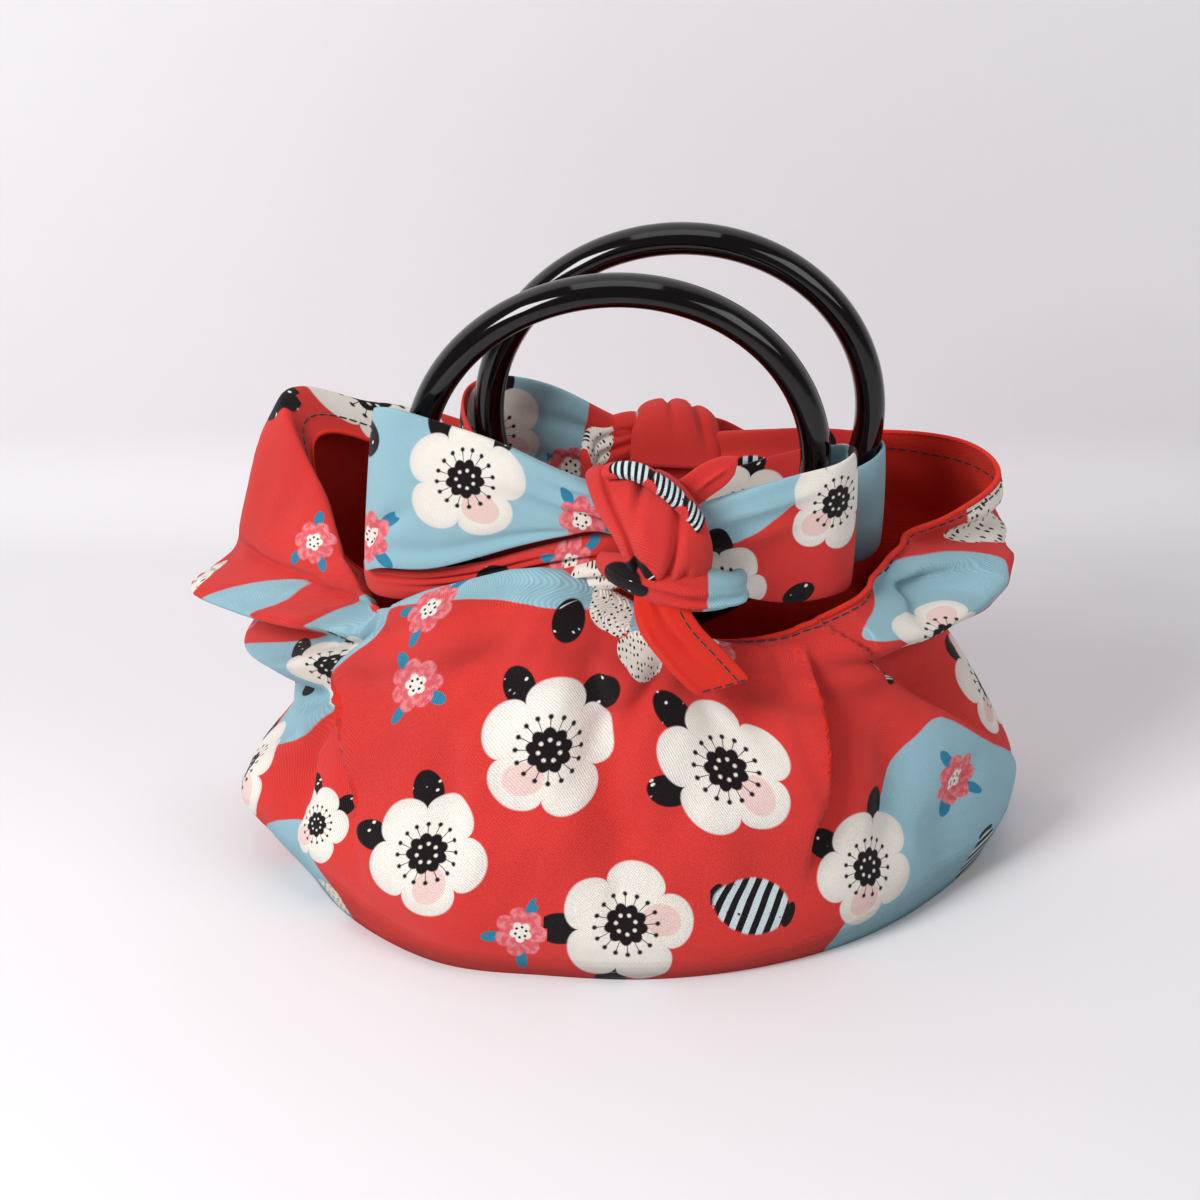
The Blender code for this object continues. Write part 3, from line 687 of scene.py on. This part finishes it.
def bodyGrid(shape):
    # outer face of the body: compass columns by rows from the floor's middle up to the hem
    compass = np.arange(shape["columns"]) * 360.0 / shape["columns"]
    distance, height = np.moveaxis(bodyProfile(shape, compass), -1, 0)
    out, around, lift = foldMoves(shape["folds"], compass, distance, height)
    angle = np.radians(compass)[:, None]
    distance = distance + out
    grid = np.stack([shape["floorMiddle"][0] + distance * np.cos(angle + around),
                     shape["floorMiddle"][1] + distance * np.sin(angle + around), height + lift], -1)
    grid = wrinkled(shape, grid, angle)
    grid[..., 2] = np.maximum(grid[..., 2], 0.0)
    return grid


def liningGrid(shape, grid):
    # the lining lies behind the print, past the print's wall, the gap and half of its own wall, and
    # its edge rolls over the hem in nearly a half circle and tucks in
    normals = gridNormals(grid, True)
    behind = shape["clothThickness"] * 1.5 + shape["layerGap"]
    inner = grid - normals * behind
    onward = unit(grid[:, -1] - grid[:, -2])
    edgeNormal = normals[:, -1]
    middle = grid[:, -1] - edgeNormal * behind / 2
    curl = [middle + onward * np.cos(t) * shape["hemRoll"]
            + edgeNormal * np.sin(t) * (behind / 2 + shape["hemProud"])
            for t in np.radians(np.linspace(-75, 90, 9))]
    tucked = [grid[:, -1] + edgeNormal * shape["hemProud"] - onward * shape["hemTuck"]]
    return np.concatenate([inner, np.stack(curl + tucked, axis=1)], axis=1)


def bodyPrint(shape, grid):
    # where the body's motifs and blue patches lie; each motif keeps real lengths round its middle
    u, v = runningLengths(grid, True)
    columns, rows = grid.shape[:2]
    walls, lip = len(shape["floorParts"]), rows - shape["rowsInSpan"][-1]
    distance = np.linalg.norm(grid[..., :2] - np.array(shape["floorMiddle"]), axis=-1)
    height = grid[..., 2].copy()
    height[:, :walls] = distance[:, :walls] - distance[:, walls:walls + 1]
    motifs = []
    for kind, compass, level, radius, turn in shape["motifs"]:
        column = int(round(compass / 360 * columns)) % columns
        row = int(np.argmin(np.abs(height[column, :lip] - level)))
        du = u - u[column]
        motifs.append((kind, (du + u[-1] / 2) % u[-1] - u[-1] / 2, v - v[:, row:row + 1], radius, turn))
    perDegree = np.radians(shape["blueReach"])
    x = np.broadcast_to((np.arange(columns) * 360 / columns * perDegree)[:, None], height.shape)
    patches = [np.array(patch) * (perDegree, 1.0) for patch in shape["blue"]]
    return {"motifs": motifs, "blue": patchDistance(x, height, patches, 360 * perDegree)}


bodySurface = bodyGrid(bodyShape)
printedBody = clothObject("printedBody", bodySurface, closed=True, caps=(0,),
                          design=bodyPrint(bodyShape, bodySurface))
giveThickness(printedBody, bodyShape["clothThickness"])
printedBody.data.materials.append(finish["printed"])
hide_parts("printed_cloth")

liningSurface = liningGrid(bodyShape, bodySurface)
liningBody = clothObject("liningBody", liningSurface, closed=True, caps=(0,))
giveThickness(liningBody, bodyShape["clothThickness"], offset=0.0)
liningBody.data.materials.append(finish["lining"])
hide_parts("lining")
print("body made")

# A strand of a tied corner is a flat tube: each row has its two edges and half its thickness.
# Pleats: first and last row, place across (1 at the first edge, -1 at the other), drift, half width
# in shares of the strand, and mm of push. Motifs and blue outlines are in mm along and across.
frontTie = {
    "leftLapel": {
        "rows": (
            (16, -47, 168, 14, -47, 151, 5), (2, -48, 172.5, 0, -49, 157, 5.5),
            (-14, -46, 178, -12, -48, 154.5, 4.5), (-34, -43, 187, -28, -47, 150, 3.2),
            (-54.5, -40, 193.4, -57, -45, 140.5, 2.3), (-70, -38, 197.5, -76, -40, 138, 1.8),
            (-77, -30, 194.5, -82.5, -29, 131.5, 1.5), (-75, -18, 188, -79, -15, 129, 1.4),
            (-62, -8, 178, -63, -4.5, 124, 1.3), (-42, -4, 168, -42, -3.5, 123, 1.3),
            (-18, -8, 158, -18, -8, 118, 1.4), (6, -11, 153, 6, -11, 117, 1.5)),
        "pleats": ((0.0, 3.4, -0.6, 0.75, 0.13, 3.4), (0.0, 2.6, 0.45, 0.05, 0.12, 2.4),
                   (1.6, 5.2, -0.82, 0.10, 0.10, 1.8), (4.3, 5.9, -0.15, -0.6, 0.10, 2.6),
                   (2.4, 4.6, 0.25, 0.25, 0.30, -1.6), (6.5, 9.5, 0.0, 0.2, 0.15, 2.0)),
        "motifs": ((1, 62, 7, 22, 30), (2, 98, -18, 11, 0), (5, 103, 20, 9, 30), (2, 22, -4, 9, 40),
                   (1, 150, 0, 22, 0)),
        "blue": (((-20, -60), (126, -60), (150, 0), (130, 60), (-20, 60)),)},
    "leftStrip": {
        "rows": (
            (14, -47, 153, 13, -46, 141, 4), (0, -47.5, 154, -2, -46, 141, 4.2),
            (-20, -45.5, 148.5, -20, -44, 137, 3.6), (-42, -42.5, 141, -42, -41, 129, 3.0),
            (-62, -38, 136, -62, -36.5, 124, 2.4), (-78, -30, 134, -77, -28, 121, 2.0),
            (-83, -19, 132, -82, -17, 119, 1.8), (-76, -10, 128, -75, -9, 115, 1.6)),
        "pleats": ((0.0, 5.0, -0.1, 0.15, 0.16, 2.6), (1.2, 6.0, 0.55, -0.1, 0.12, 1.6)),
        "motifs": ((5, 52, 0, 7, 20), (2, 24, 0, 8, 0))},
    "lowStrip": {
        "rows": (
            (16, -50, 145, 15, -48, 136, 4), (2, -51, 146, 1, -49, 135, 4),
            (-10, -50, 143, -10, -48, 133, 3.2), (-24, -47, 137, -24, -45.5, 128, 2.4),
            (-38, -43.5, 130, -38, -42, 122, 2.0)),
        "pleats": ((0.0, 3.6, 0.0, 0.2, 0.2, 2.2),), "motifs": ((4, 18, 0, 9, 10), (5, 38, 2, 7, 10))},
    "rightLapel": {
        "rows": (
            (18, -46, 163, 18, -46, 147, 5), (33, -48, 166, 34, -48, 139, 5),
            (48, -46, 170, 47, -46, 131, 4), (66, -41, 173.5, 65, -41, 125, 2.4),
            (82, -35, 175.5, 82, -34, 124, 1.7), (89, -24, 176, 89, -23, 123, 1.4),
            (85, -13, 173, 85, -12.5, 124, 1.3), (72, -7, 169, 72, -6.5, 126, 1.3),
            (52, -5, 162, 52, -4.5, 124, 1.3), (28, -8, 155, 28, -8, 119, 1.4),
            (2, -11, 149, 2, -11, 119, 1.3)),
        "pleats": ((0.2, 3.2, -0.1, 0.45, 0.12, 3.0), (0.2, 2.8, -0.6, 0.2, 0.12, 2.6),
                   (0.6, 3.8, 0.55, 0.2, 0.10, 1.8)),
        "motifs": ((1, 66, 12, 19, 0), (1, 24, -15, 17, 60), (5, 53, -21, 6, 20), (1, 130, 0, 20, 0)),
        "blue": (((10, 12), (22, 2), (50, 16), (52, 40), (16, 40)), ((84, -8), (104, -6), (104, 40),
                                                                     (84, 40)))},
    "wrap": {
        "rows": (
            (0, -38, 170, 20, -38, 168, 4), (-5, -49, 178, 27, -52, 175, 6),
            (-2, -59, 171, 33, -61, 172, 8.5), (5, -66, 161, 37.5, -67, 162, 9.5),
            (9, -66, 152, 38, -66, 152, 8.5), (12, -62, 143, 36, -61, 144, 6),
            (14, -53, 137, 35, -53, 138, 4)),
        "squareness": 1.1,
        "pleats": ((0.2, 2.8, -0.7, 1.2, 0.09, 3.4), (1.6, 4.6, -0.8, 1.1, 0.10, 3.6),
                   (0.6, 5.6, 0.62, 0.12, 0.07, 3.6), (3.4, 5.8, -0.5, 0.8, 0.10, 2.6),
                   (1.0, 3.4, 0.05, 0.4, 0.16, -1.6)),
        "motifs": ((5, 52, 10, 8, 0),)},
    "wrapHem": {
        "rows": (
            (2, -56, 184, 1, -60, 181.5, 2.0), (9, -58, 186.5, 8.5, -63, 183, 2.4),
            (16, -60, 185.5, 15, -65.5, 181.5, 2.6), (23, -62.5, 181.5, 22, -68, 177.5, 2.6),
            (29.5, -64.5, 176, 28, -70, 172, 2.5), (34.5, -66, 169.5, 32.5, -71.5, 166.5, 2.2)),
        "motifs": ((3, 10, 0, 7, 90), (3, 24, 0, 7, 90), (3, 38, 0, 7, 90))},
    "lowBand": {
        "rows": (
            (0, -52, 150, 2, -50, 141, 3), (8, -62, 154, 9, -61, 141, 5.5), (20, -67, 155, 21, -66, 137, 7),
            (33, -67.5, 153, 33, -66, 135, 7), (44, -63, 147.5, 43, -61, 134.5, 5.5),
            (49, -53, 144, 47, -51, 135, 3)),
        "squareness": 1.0,
        "pleats": ((0.6, 3.4, 0.5, -0.4, 0.12, 3.0), (2.0, 4.8, -0.45, 0.3, 0.12, 2.8)),
        "motifs": ((5, 16, 0, 8, 0),), "blue": (((44, -20), (41, 0), (48, 20), (80, 20), (80, -20)),)},
    "frontTail": {
        "rows": (
            (13, -60, 149, 30, -60, 148, 1.6), (11.5, -68, 140, 29, -69, 141, 1.5),
            (13, -72, 131, 34, -73, 132.5, 1.4), (20, -74, 120.5, 43, -74, 122.5, 1.3),
            (30, -73.5, 108.5, 50, -74, 114, 1.2), (33.5, -73.5, 105.8, 50.5, -74, 112, 1.0)),
        "squareness": 0.45, "face": "lining",
        "pleats": ((0.4, 3.4, 0.2, -0.3, 0.16, 1.3), (1.4, 4.6, 0.75, 0.0, 0.10, -0.8))},
    "upperTail": {
        "rows": (
            (22, -48, 172, 25, -48, 163, 1.8), (28, -49, 176.5, 32, -50, 166, 1.6),
            (34, -48.5, 181, 38, -50, 170.5, 1.5), (41, -48, 184, 43, -49.5, 174.5, 1.3),
            (47, -47.5, 184, 45.6, -48.5, 177.5, 1.1)),
        "squareness": 0.45, "face": "lining",
        "pleats": ((0.4, 3.4, -0.2, 0.3, 0.14, 1.2),)},
}
backTie = {
    "leftLapel": {
        "rows": (
            (18, 50, 149, 18, 50, 130, 6), (2, 49, 159, 2, 49, 128, 5), (-18, 46, 171, -18, 47, 122, 3),
            (-36, 41, 177, -36, 44, 116, 1.9), (-47, 36, 176, -49, 37, 114, 1.5),
            (-50, 27, 172, -52, 27, 112, 1.4), (-46, 19, 164, -48, 18, 110, 1.3),
            (-34, 15, 154, -34, 15, 110, 1.3), (-14, 16, 145, -14, 16, 107, 1.4),
            (10, 17, 139, 10, 17, 105, 1.4), (30, 17, 137, 30, 17, 105, 1.5)),
        "pleats": ((0.0, 3.2, -0.5, 0.5, 0.12, 3.2), (0.0, 2.8, 0.4, 0.1, 0.12, 2.4),
                   (2.2, 4.2, -0.2, -0.4, 0.12, 2.0)),
        "motifs": ((1, 62, 8, 22, 0), (2, 30, -8, 10, 0), (1, 108, 6, 22, 0)),
        "blue": (((26, -60), (26, 0), (16, 60), (46, 60), (58, 0), (52, -60)),)},
    "rightLapel": {
        "rows": (
            (24, 50, 148, 24, 50, 128, 6), (42, 48, 151, 42, 48, 123, 4.5), (60, 46, 153, 60, 46, 119, 2.8),
            (80, 43, 155, 80, 43, 117, 1.8), (97, 37, 156, 97, 37, 116, 1.5),
            (104, 28, 156, 104, 28, 116, 1.4), (100, 18, 154, 100, 18, 114, 1.3),
            (88, 15, 149, 88, 15, 111, 1.3), (68, 16, 142, 68, 16, 108, 1.3),
            (46, 17, 137, 46, 17, 105, 1.4), (24, 17, 134, 24, 17, 106, 1.3)),
        "pleats": ((0.0, 3.0, 0.3, 0.1, 0.14, 2.6), (0.0, 3.4, -0.5, 0.3, 0.12, 2.6)),
        "motifs": ((1, 66, -2, 17, 0), (3, 34, 0, 12, 90)), "blue": (((76, -60), (88, 0), (80, 60),
                                                                      (120, 60), (130, -60)),)},
    "wrap": {
        "rows": (
            (11, 40, 141, 45, 40, 139, 5), (12, 46, 153, 45, 46, 147, 6), (14, 54, 157, 44, 54, 152, 7),
            (14, 63, 150, 41, 63, 146, 7), (13, 68, 138, 38, 67, 136, 6), (12, 62, 127, 33, 62, 127, 4)),
        "squareness": 1.05, "face": "lining",
        "pleats": ((0.3, 4.6, -0.8, 1.0, 0.12, -3.0), (0.8, 4.8, 0.0, 0.8, 0.10, -2.8))},
    "sideBand": {
        "rows": (
            (-6, 40, 148, -4, 40, 134, 2.5), (-4, 46, 154, -1, 43, 138, 3.5), (4, 50, 157, 7, 45, 140, 4.5),
            (13, 52, 158, 16, 46, 142, 4.5), (21, 52, 155, 22, 48, 142, 3.5)),
        "squareness": 0.8, "pleats": ((0.4, 3.6, 0.3, -0.2, 0.16, -2.4), (0.4, 3.6, -0.4, 0.1, 0.14, -2.0)),
        "motifs": ((4, 6, 2, 10, 20),), "blue": (((26, -20), (31, -20), (31, 20), (26, 20)),)},
    "backTail": {
        "rows": (
            (10, 60, 134, 30, 60, 134, 1.6), (8, 68, 127, 29, 69, 126, 1.5), (4, 73, 117, 26, 74, 115, 1.4),
            (-1, 75, 105, 21, 76, 102, 1.3), (-6, 76, 94, 13, 77, 90, 1.2),
            (-7, 76, 91, 10, 77, 87.5, 1.0)),
        "squareness": 0.45, "face": "lining",
        "pleats": ((0.4, 3.4, 0.2, -0.3, 0.16, -1.3),)},
    "innerTail": {
        "rows": (
            (26, 58, 150, 30, 58, 138, 1.8), (36, 61, 152, 40, 61, 139, 1.6),
            (46, 63, 150, 50, 62, 137, 1.4), (55, 64, 145, 57, 63, 134, 1.2),
            (59, 64, 142, 60, 63, 133, 1.0)),
        "squareness": 0.45, "face": "lining",
        "pleats": ((0.4, 3.4, 0.0, 0.2, 0.14, -1.2),)},
}
strandSides, strandStepsPerRow = 72, 9


def strandGrid(strand):
    # flat ovals carried along the path: cos across the width and |sin| ** squareness through the
    # thickness; pleats move both faces together, so that the cloth keeps its thickness
    rows = np.array(strand["rows"], float)
    parts = np.linspace(0, len(rows) - 1, (len(rows) - 1) * strandStepsPerRow + 1)
    values = smoothThrough(rows, parts)
    path, half = (values[:, :3] + values[:, 3:6]) / 2, (values[:, :3] - values[:, 3:6]) / 2
    depth = values[:, 6]
    thick = unit(np.cross(unit(np.gradient(path, axis=0)), half))
    turn = np.arange(strandSides) * 2 * np.pi / strandSides
    across = np.cos(turn)
    through = np.sign(np.sin(turn)) * np.abs(np.sin(turn)) ** strand.get("squareness", 0.6)
    bend = np.zeros((len(parts), strandSides))
    for start, end, place, drift, size, push in strand.get("pleats", ()):
        part = np.clip((parts - start) / (end - start), 0, 1)[:, None]
        # a pleat fades towards both its ends, unless it starts with the strand
        fade = np.clip(np.minimum(part, 1 - part) * 4, 0, 1)
        if start == 0:
            fade = np.clip((1 - part) * 2, 0, 1)
        bend += push * fade * np.exp(-((across[None] - place - drift * part) / size) ** 2)
    grid = (path[:, None] + half[:, None] * across[..., None]
            + thick[:, None] * (depth[:, None] * through + bend)[..., None])
    return grid.swapaxes(0, 1)


def strandPrint(strand, grid):
    # motifs and blue patches by mm along the strand's middle and across it; both faces show them
    wide = np.concatenate([grid, grid[:1]])
    path = (grid[0] + grid[strandSides // 2]) / 2
    along = np.cumsum(np.linalg.norm(np.diff(path, axis=0, prepend=path[:1]), axis=-1))
    half = (grid[0] - grid[strandSides // 2]) / 2
    across = ((wide - path) * unit(half)).sum(axis=-1)
    along = np.broadcast_to(along, across.shape)
    motifs = [(kind, along - s, across - a, radius, turn)
              for kind, s, a, radius, turn in strand.get("motifs", ())]
    return {"motifs": motifs, "blue": patchDistance(along, across, strand.get("blue", ()))}


# A stitch in mm: each end narrows to its tip over the tip's length, and its heading is read from
# the path that far ahead of its middle.
stitchShape = {"length": 3.3, "gap": 0.9, "radius": 0.36, "tipRadius": 0.10, "tipLength": 0.35,
               "ahead": 0.8, "sides": 6}


def stitchRow(name, path, normals):
    # rounded bars set along the path at even lengths of it, half sunk in the cloth
    pitch, half = stitchShape["length"] + stitchShape["gap"], stitchShape["length"] / 2
    run = np.concatenate([[0], np.cumsum(np.linalg.norm(np.diff(path, axis=0), axis=-1))])
    centres = np.arange(pitch / 2, run[-1] - pitch / 2, pitch)
    place, normal, ahead = (
        np.stack([np.interp(at, run, part[:, k]) for k in range(3)], -1)
        for at, part in ((centres, path), (centres, normals), (centres + stitchShape["ahead"], path)))
    heading = unit(ahead - place)
    aside = unit(np.cross(normal, heading))
    turn = np.arange(stitchShape["sides"]) * 2 * np.pi / stitchShape["sides"]
    narrow = half - stitchShape["tipLength"]
    ends = np.array([-half, -narrow, narrow, half])
    radii = np.array([stitchShape[key] for key in ("tipRadius", "radius", "radius", "tipRadius")])
    bars = (place[:, None, None] + heading[:, None, None] * ends[:, None, None]
            + radii[:, None, None] * (aside[:, None, None] * np.cos(turn)[:, None]
                                      + normal[:, None, None] * np.sin(turn)[:, None]))
    index = np.arange(bars[..., 0].size).reshape(bars.shape[:3])
    near, far = index[:, :-1], index[:, 1:]
    quads = np.stack([near, far, np.roll(far, -1, 2), np.roll(near, -1, 2)], -1)
    faces = quads.reshape(-1, 4).tolist() + index[:, 0].tolist() + index[:, -1, ::-1].tolist()
    made = addPiece(name, bars, faces)
    made.data.materials.append(finish["thread"])


def makeTie(side, tie, node):
    # the strands of two tied corners, each a piece, the first in place of the corners' CAD node; some
    # show the lining on the second half of their columns
    made, grids = [], {}
    for strandName, strand in tie.items():
        grid = strandGrid(strand)
        piece = clothObject(side + strandName[0].upper() + strandName[1:], grid, closed=True, caps=(0, -1),
                            design=strandPrint(strand, grid))
        face = strand.get("face", "printed")
        piece.data.materials.append(finish["printed"])
        if face == "lining":
            piece.data.materials.append(finish["lining"])
            shown = np.zeros(len(piece.data.polygons), int)
            shown[:strandSides * (grid.shape[1] - 1)] = np.repeat(
                np.arange(strandSides) >= strandSides // 2, grid.shape[1] - 1)
            piece.data.polygons.foreach_set("material_index", shown)
        made.append(piece)
        grids[strandName] = grid
    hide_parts(node)
    return made, grids


frontPieces, frontGrids = makeTie("front", frontTie, "front_tied_corners")
backPieces, backGrids = makeTie("back", backTie, "back_tied_corners")
print("tied corners made")


# Rows of the body that the hem's stitches follow outside and inside, and, for each free end, the
# place across it of its stitches (1 at one edge, -1 at the other) and their first and last rows.
# At its tip the front end has a row right across, but for a few columns at each edge.
stitchPlaces = {"hemRow": -6, "liningHemRow": -13, "tipRow": 40, "tipEdge": 3,
                "frontTail": (-0.62, 6, 44), "upperTail": (0.1, 5, 33), "backTail": (-0.62, 6, 42)}


def stitchAlong(strandName, grid):
    # a row of stitches along a free end's outer face
    place, first, last = stitchPlaces[strandName]
    column = int(round((1 - np.arccos(place) / (2 * np.pi)) * strandSides)) % strandSides
    normals = gridNormals(grid, True)
    stitchRow(strandName + "Stitches", grid[column, first:last], normals[column, first:last])


def stitchAcross(name, grid):
    # a row of stitches across a free end's outer face, by its tip
    columns = slice(strandSides // 2 + stitchPlaces["tipEdge"], strandSides - stitchPlaces["tipEdge"])
    row = stitchPlaces["tipRow"]
    stitchRow(name, grid[columns, row], gridNormals(grid, True)[columns, row])


def stitchHem(name, row, behind, side):
    # a row of stitches round the mouth, that many mm behind the print's face, facing out (1) or in (-1)
    closedRound = np.append(np.arange(bodyShape["columns"]), 0)
    normals = gridNormals(bodySurface, True)
    path = (bodySurface - normals * behind)[closedRound, row]
    stitchRow(name, path, side * normals[closedRound, row])


stitchHem("hemStitches", stitchPlaces["hemRow"], 0.0, 1)
stitchHem("liningStitches", stitchPlaces["liningHemRow"],
          bodyShape["clothThickness"] * 2 + bodyShape["layerGap"], -1)
stitchAlong("frontTail", frontGrids["frontTail"])
stitchAcross("frontTipStitches", frontGrids["frontTail"])
stitchAlong("upperTail", frontGrids["upperTail"])
stitchAlong("backTail", backGrids["backTail"])
print("stitches made")


ringShape = {"outerDiameter": 150.0, "tube": (11.0, 14.0), "steps": 220, "sides": 40,
             "frontRing": {"middle": (6.0, -20.0, 169.0), "lean": -9.0, "node": "front_ring"},
             "backRing": {"middle": (29.0, 26.0, 168.5), "lean": -5.0, "node": "back_ring"}}


def ringGrid(shape, ring):
    # an oval section, as wide as the tube in the ring's plane and as deep as it along the axis,
    # turned about the ring's axis, then leant back and moved to its middle
    wide, deep = shape["tube"]
    section = np.arange(shape["sides"]) * 2 * np.pi / shape["sides"]
    turn = np.arange(shape["steps"])[:, None] * 2 * np.pi / shape["steps"]
    out = (shape["outerDiameter"] - wide) / 2 + wide / 2 * np.cos(section)
    x, z = out * np.cos(turn), out * np.sin(turn)
    y = np.broadcast_to(deep / 2 * np.sin(section), x.shape)
    lean = np.radians(-ring["lean"])
    grid = np.stack([x, y * np.cos(lean) - z * np.sin(lean), y * np.sin(lean) + z * np.cos(lean)], -1)
    return grid + np.array(ring["middle"])


def ringObject(name, grid):
    # a torus of quads, closed both ways
    steps, sides = grid.shape[:2]
    index = np.arange(steps * sides).reshape(steps, sides)
    ahead, aside = np.roll(index, -1, axis=0), np.roll(index, -1, axis=1)
    quads = np.stack([index, aside, np.roll(ahead, -1, axis=1), ahead], -1).reshape(-1, 4)
    made = addPiece(name, grid, quads.tolist())
    made.data.materials.append(finish["ring"])
    return made


for ringName in ("frontRing", "backRing"):
    ringPiece = ringObject(ringName, ringGrid(ringShape, ringShape[ringName]))
    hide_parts(ringShape[ringName]["node"])
print("rings made")

# Lights are soft squares: name, place, side and watts; all point at one target.
studio = {"wallBehind": 297.0, "roundCorner": 45.0, "half": 3000.0, "front": -2500.0, "wallTop": 2600.0,
          "paper": "#DEDCDE", "room": "#F4F4FA", "roomStrength": 0.18, "lightTarget": (0, 0, 80),
          "lights": (("keyLight", (-750, -760, 900), 480, 16.5), ("fillLight", (950, -650, 750), 700, 4.2),
                     ("topLight", (0, 0, 1400), 800, 3.5)),
          "camera": {"target": (0, 0, 105), "elevation": 27.0, "distance": 1040.0, "lens": 85.0}}


def makeSweep():
    # a pale sweep: floor, a rounded corner and a wall, as one sheet
    corner = np.radians(np.linspace(0, 90, 10))
    bend = np.stack([studio["wallBehind"] - studio["roundCorner"] + studio["roundCorner"] * np.sin(corner),
                     studio["roundCorner"] * (1 - np.cos(corner))], -1)
    profile = np.concatenate([[[studio["front"], 0.0]], bend, [[studio["wallBehind"], studio["wallTop"]]]])
    sides = np.array([-studio["half"], studio["half"]])[:, None]
    grid = np.stack(np.broadcast_arrays(sides, *profile.T), -1)
    sweep = clothObject("floor", grid)
    material, tree, shader = newMaterial("paleStudioPaper", Roughness=0.7)
    shader.inputs["Base Color"].default_value = linearColour(studio["paper"])
    # seen from behind, the sheet is clear, so that the bag shows from all round
    clear = addNode(tree, "ShaderNodeBsdfTransparent")
    backFacing = addNode(tree, "ShaderNodeNewGeometry").outputs["Backfacing"]
    mixed = addNode(tree, "ShaderNodeMixShader", backFacing, shader, clear)
    tree.links.new(mixed.outputs[0], tree.nodes["Material Output"].inputs["Surface"])
    sweep.data.materials.append(material)


def addLight(name, place, size, power):
    # a soft area light at a table point, turned to the studio's target
    light = bpy.data.lights.new(name, "AREA")
    light.size = size * mm
    light.energy = power
    made = bpy.data.objects.new(name, light)
    made.location = toFrame(place)
    way = Vector(toFrame(studio["lightTarget"])) - made.location
    made.rotation_euler = way.to_track_quat("-Z", "Y").to_euler()
    bpy.context.scene.collection.objects.link(made)


def lightRoom():
    # a faint even light from all round
    world = bpy.data.worlds.new("paleRoom")
    bpy.context.scene.world = world
    world.use_nodes = True
    background = world.node_tree.nodes["Background"]
    background.inputs["Color"].default_value = linearColour(studio["room"])
    background.inputs["Strength"].default_value = studio["roomStrength"]


def makeCamera(view):
    # the camera stands in front, at its elevation and distance from its target
    camera = bpy.data.cameras.new("camera")
    camera.lens = view["lens"]
    camera.clip_start = 0.01
    made = bpy.data.objects.new("camera", camera)
    tilt = np.radians(view["elevation"])
    back = np.array([0, -np.cos(tilt), np.sin(tilt)]) * view["distance"]
    made.location = toFrame(np.array(view["target"]) + back)
    made.rotation_euler = (np.pi / 2 - tilt, 0, 0)
    bpy.context.scene.collection.objects.link(made)
    bpy.context.scene.camera = made


makeSweep()
for lamp in studio["lights"]:
    addLight(*lamp)
lightRoom()
makeCamera(studio["camera"])
bpy.context.scene.view_settings.view_transform = "Standard"
print("studio made")
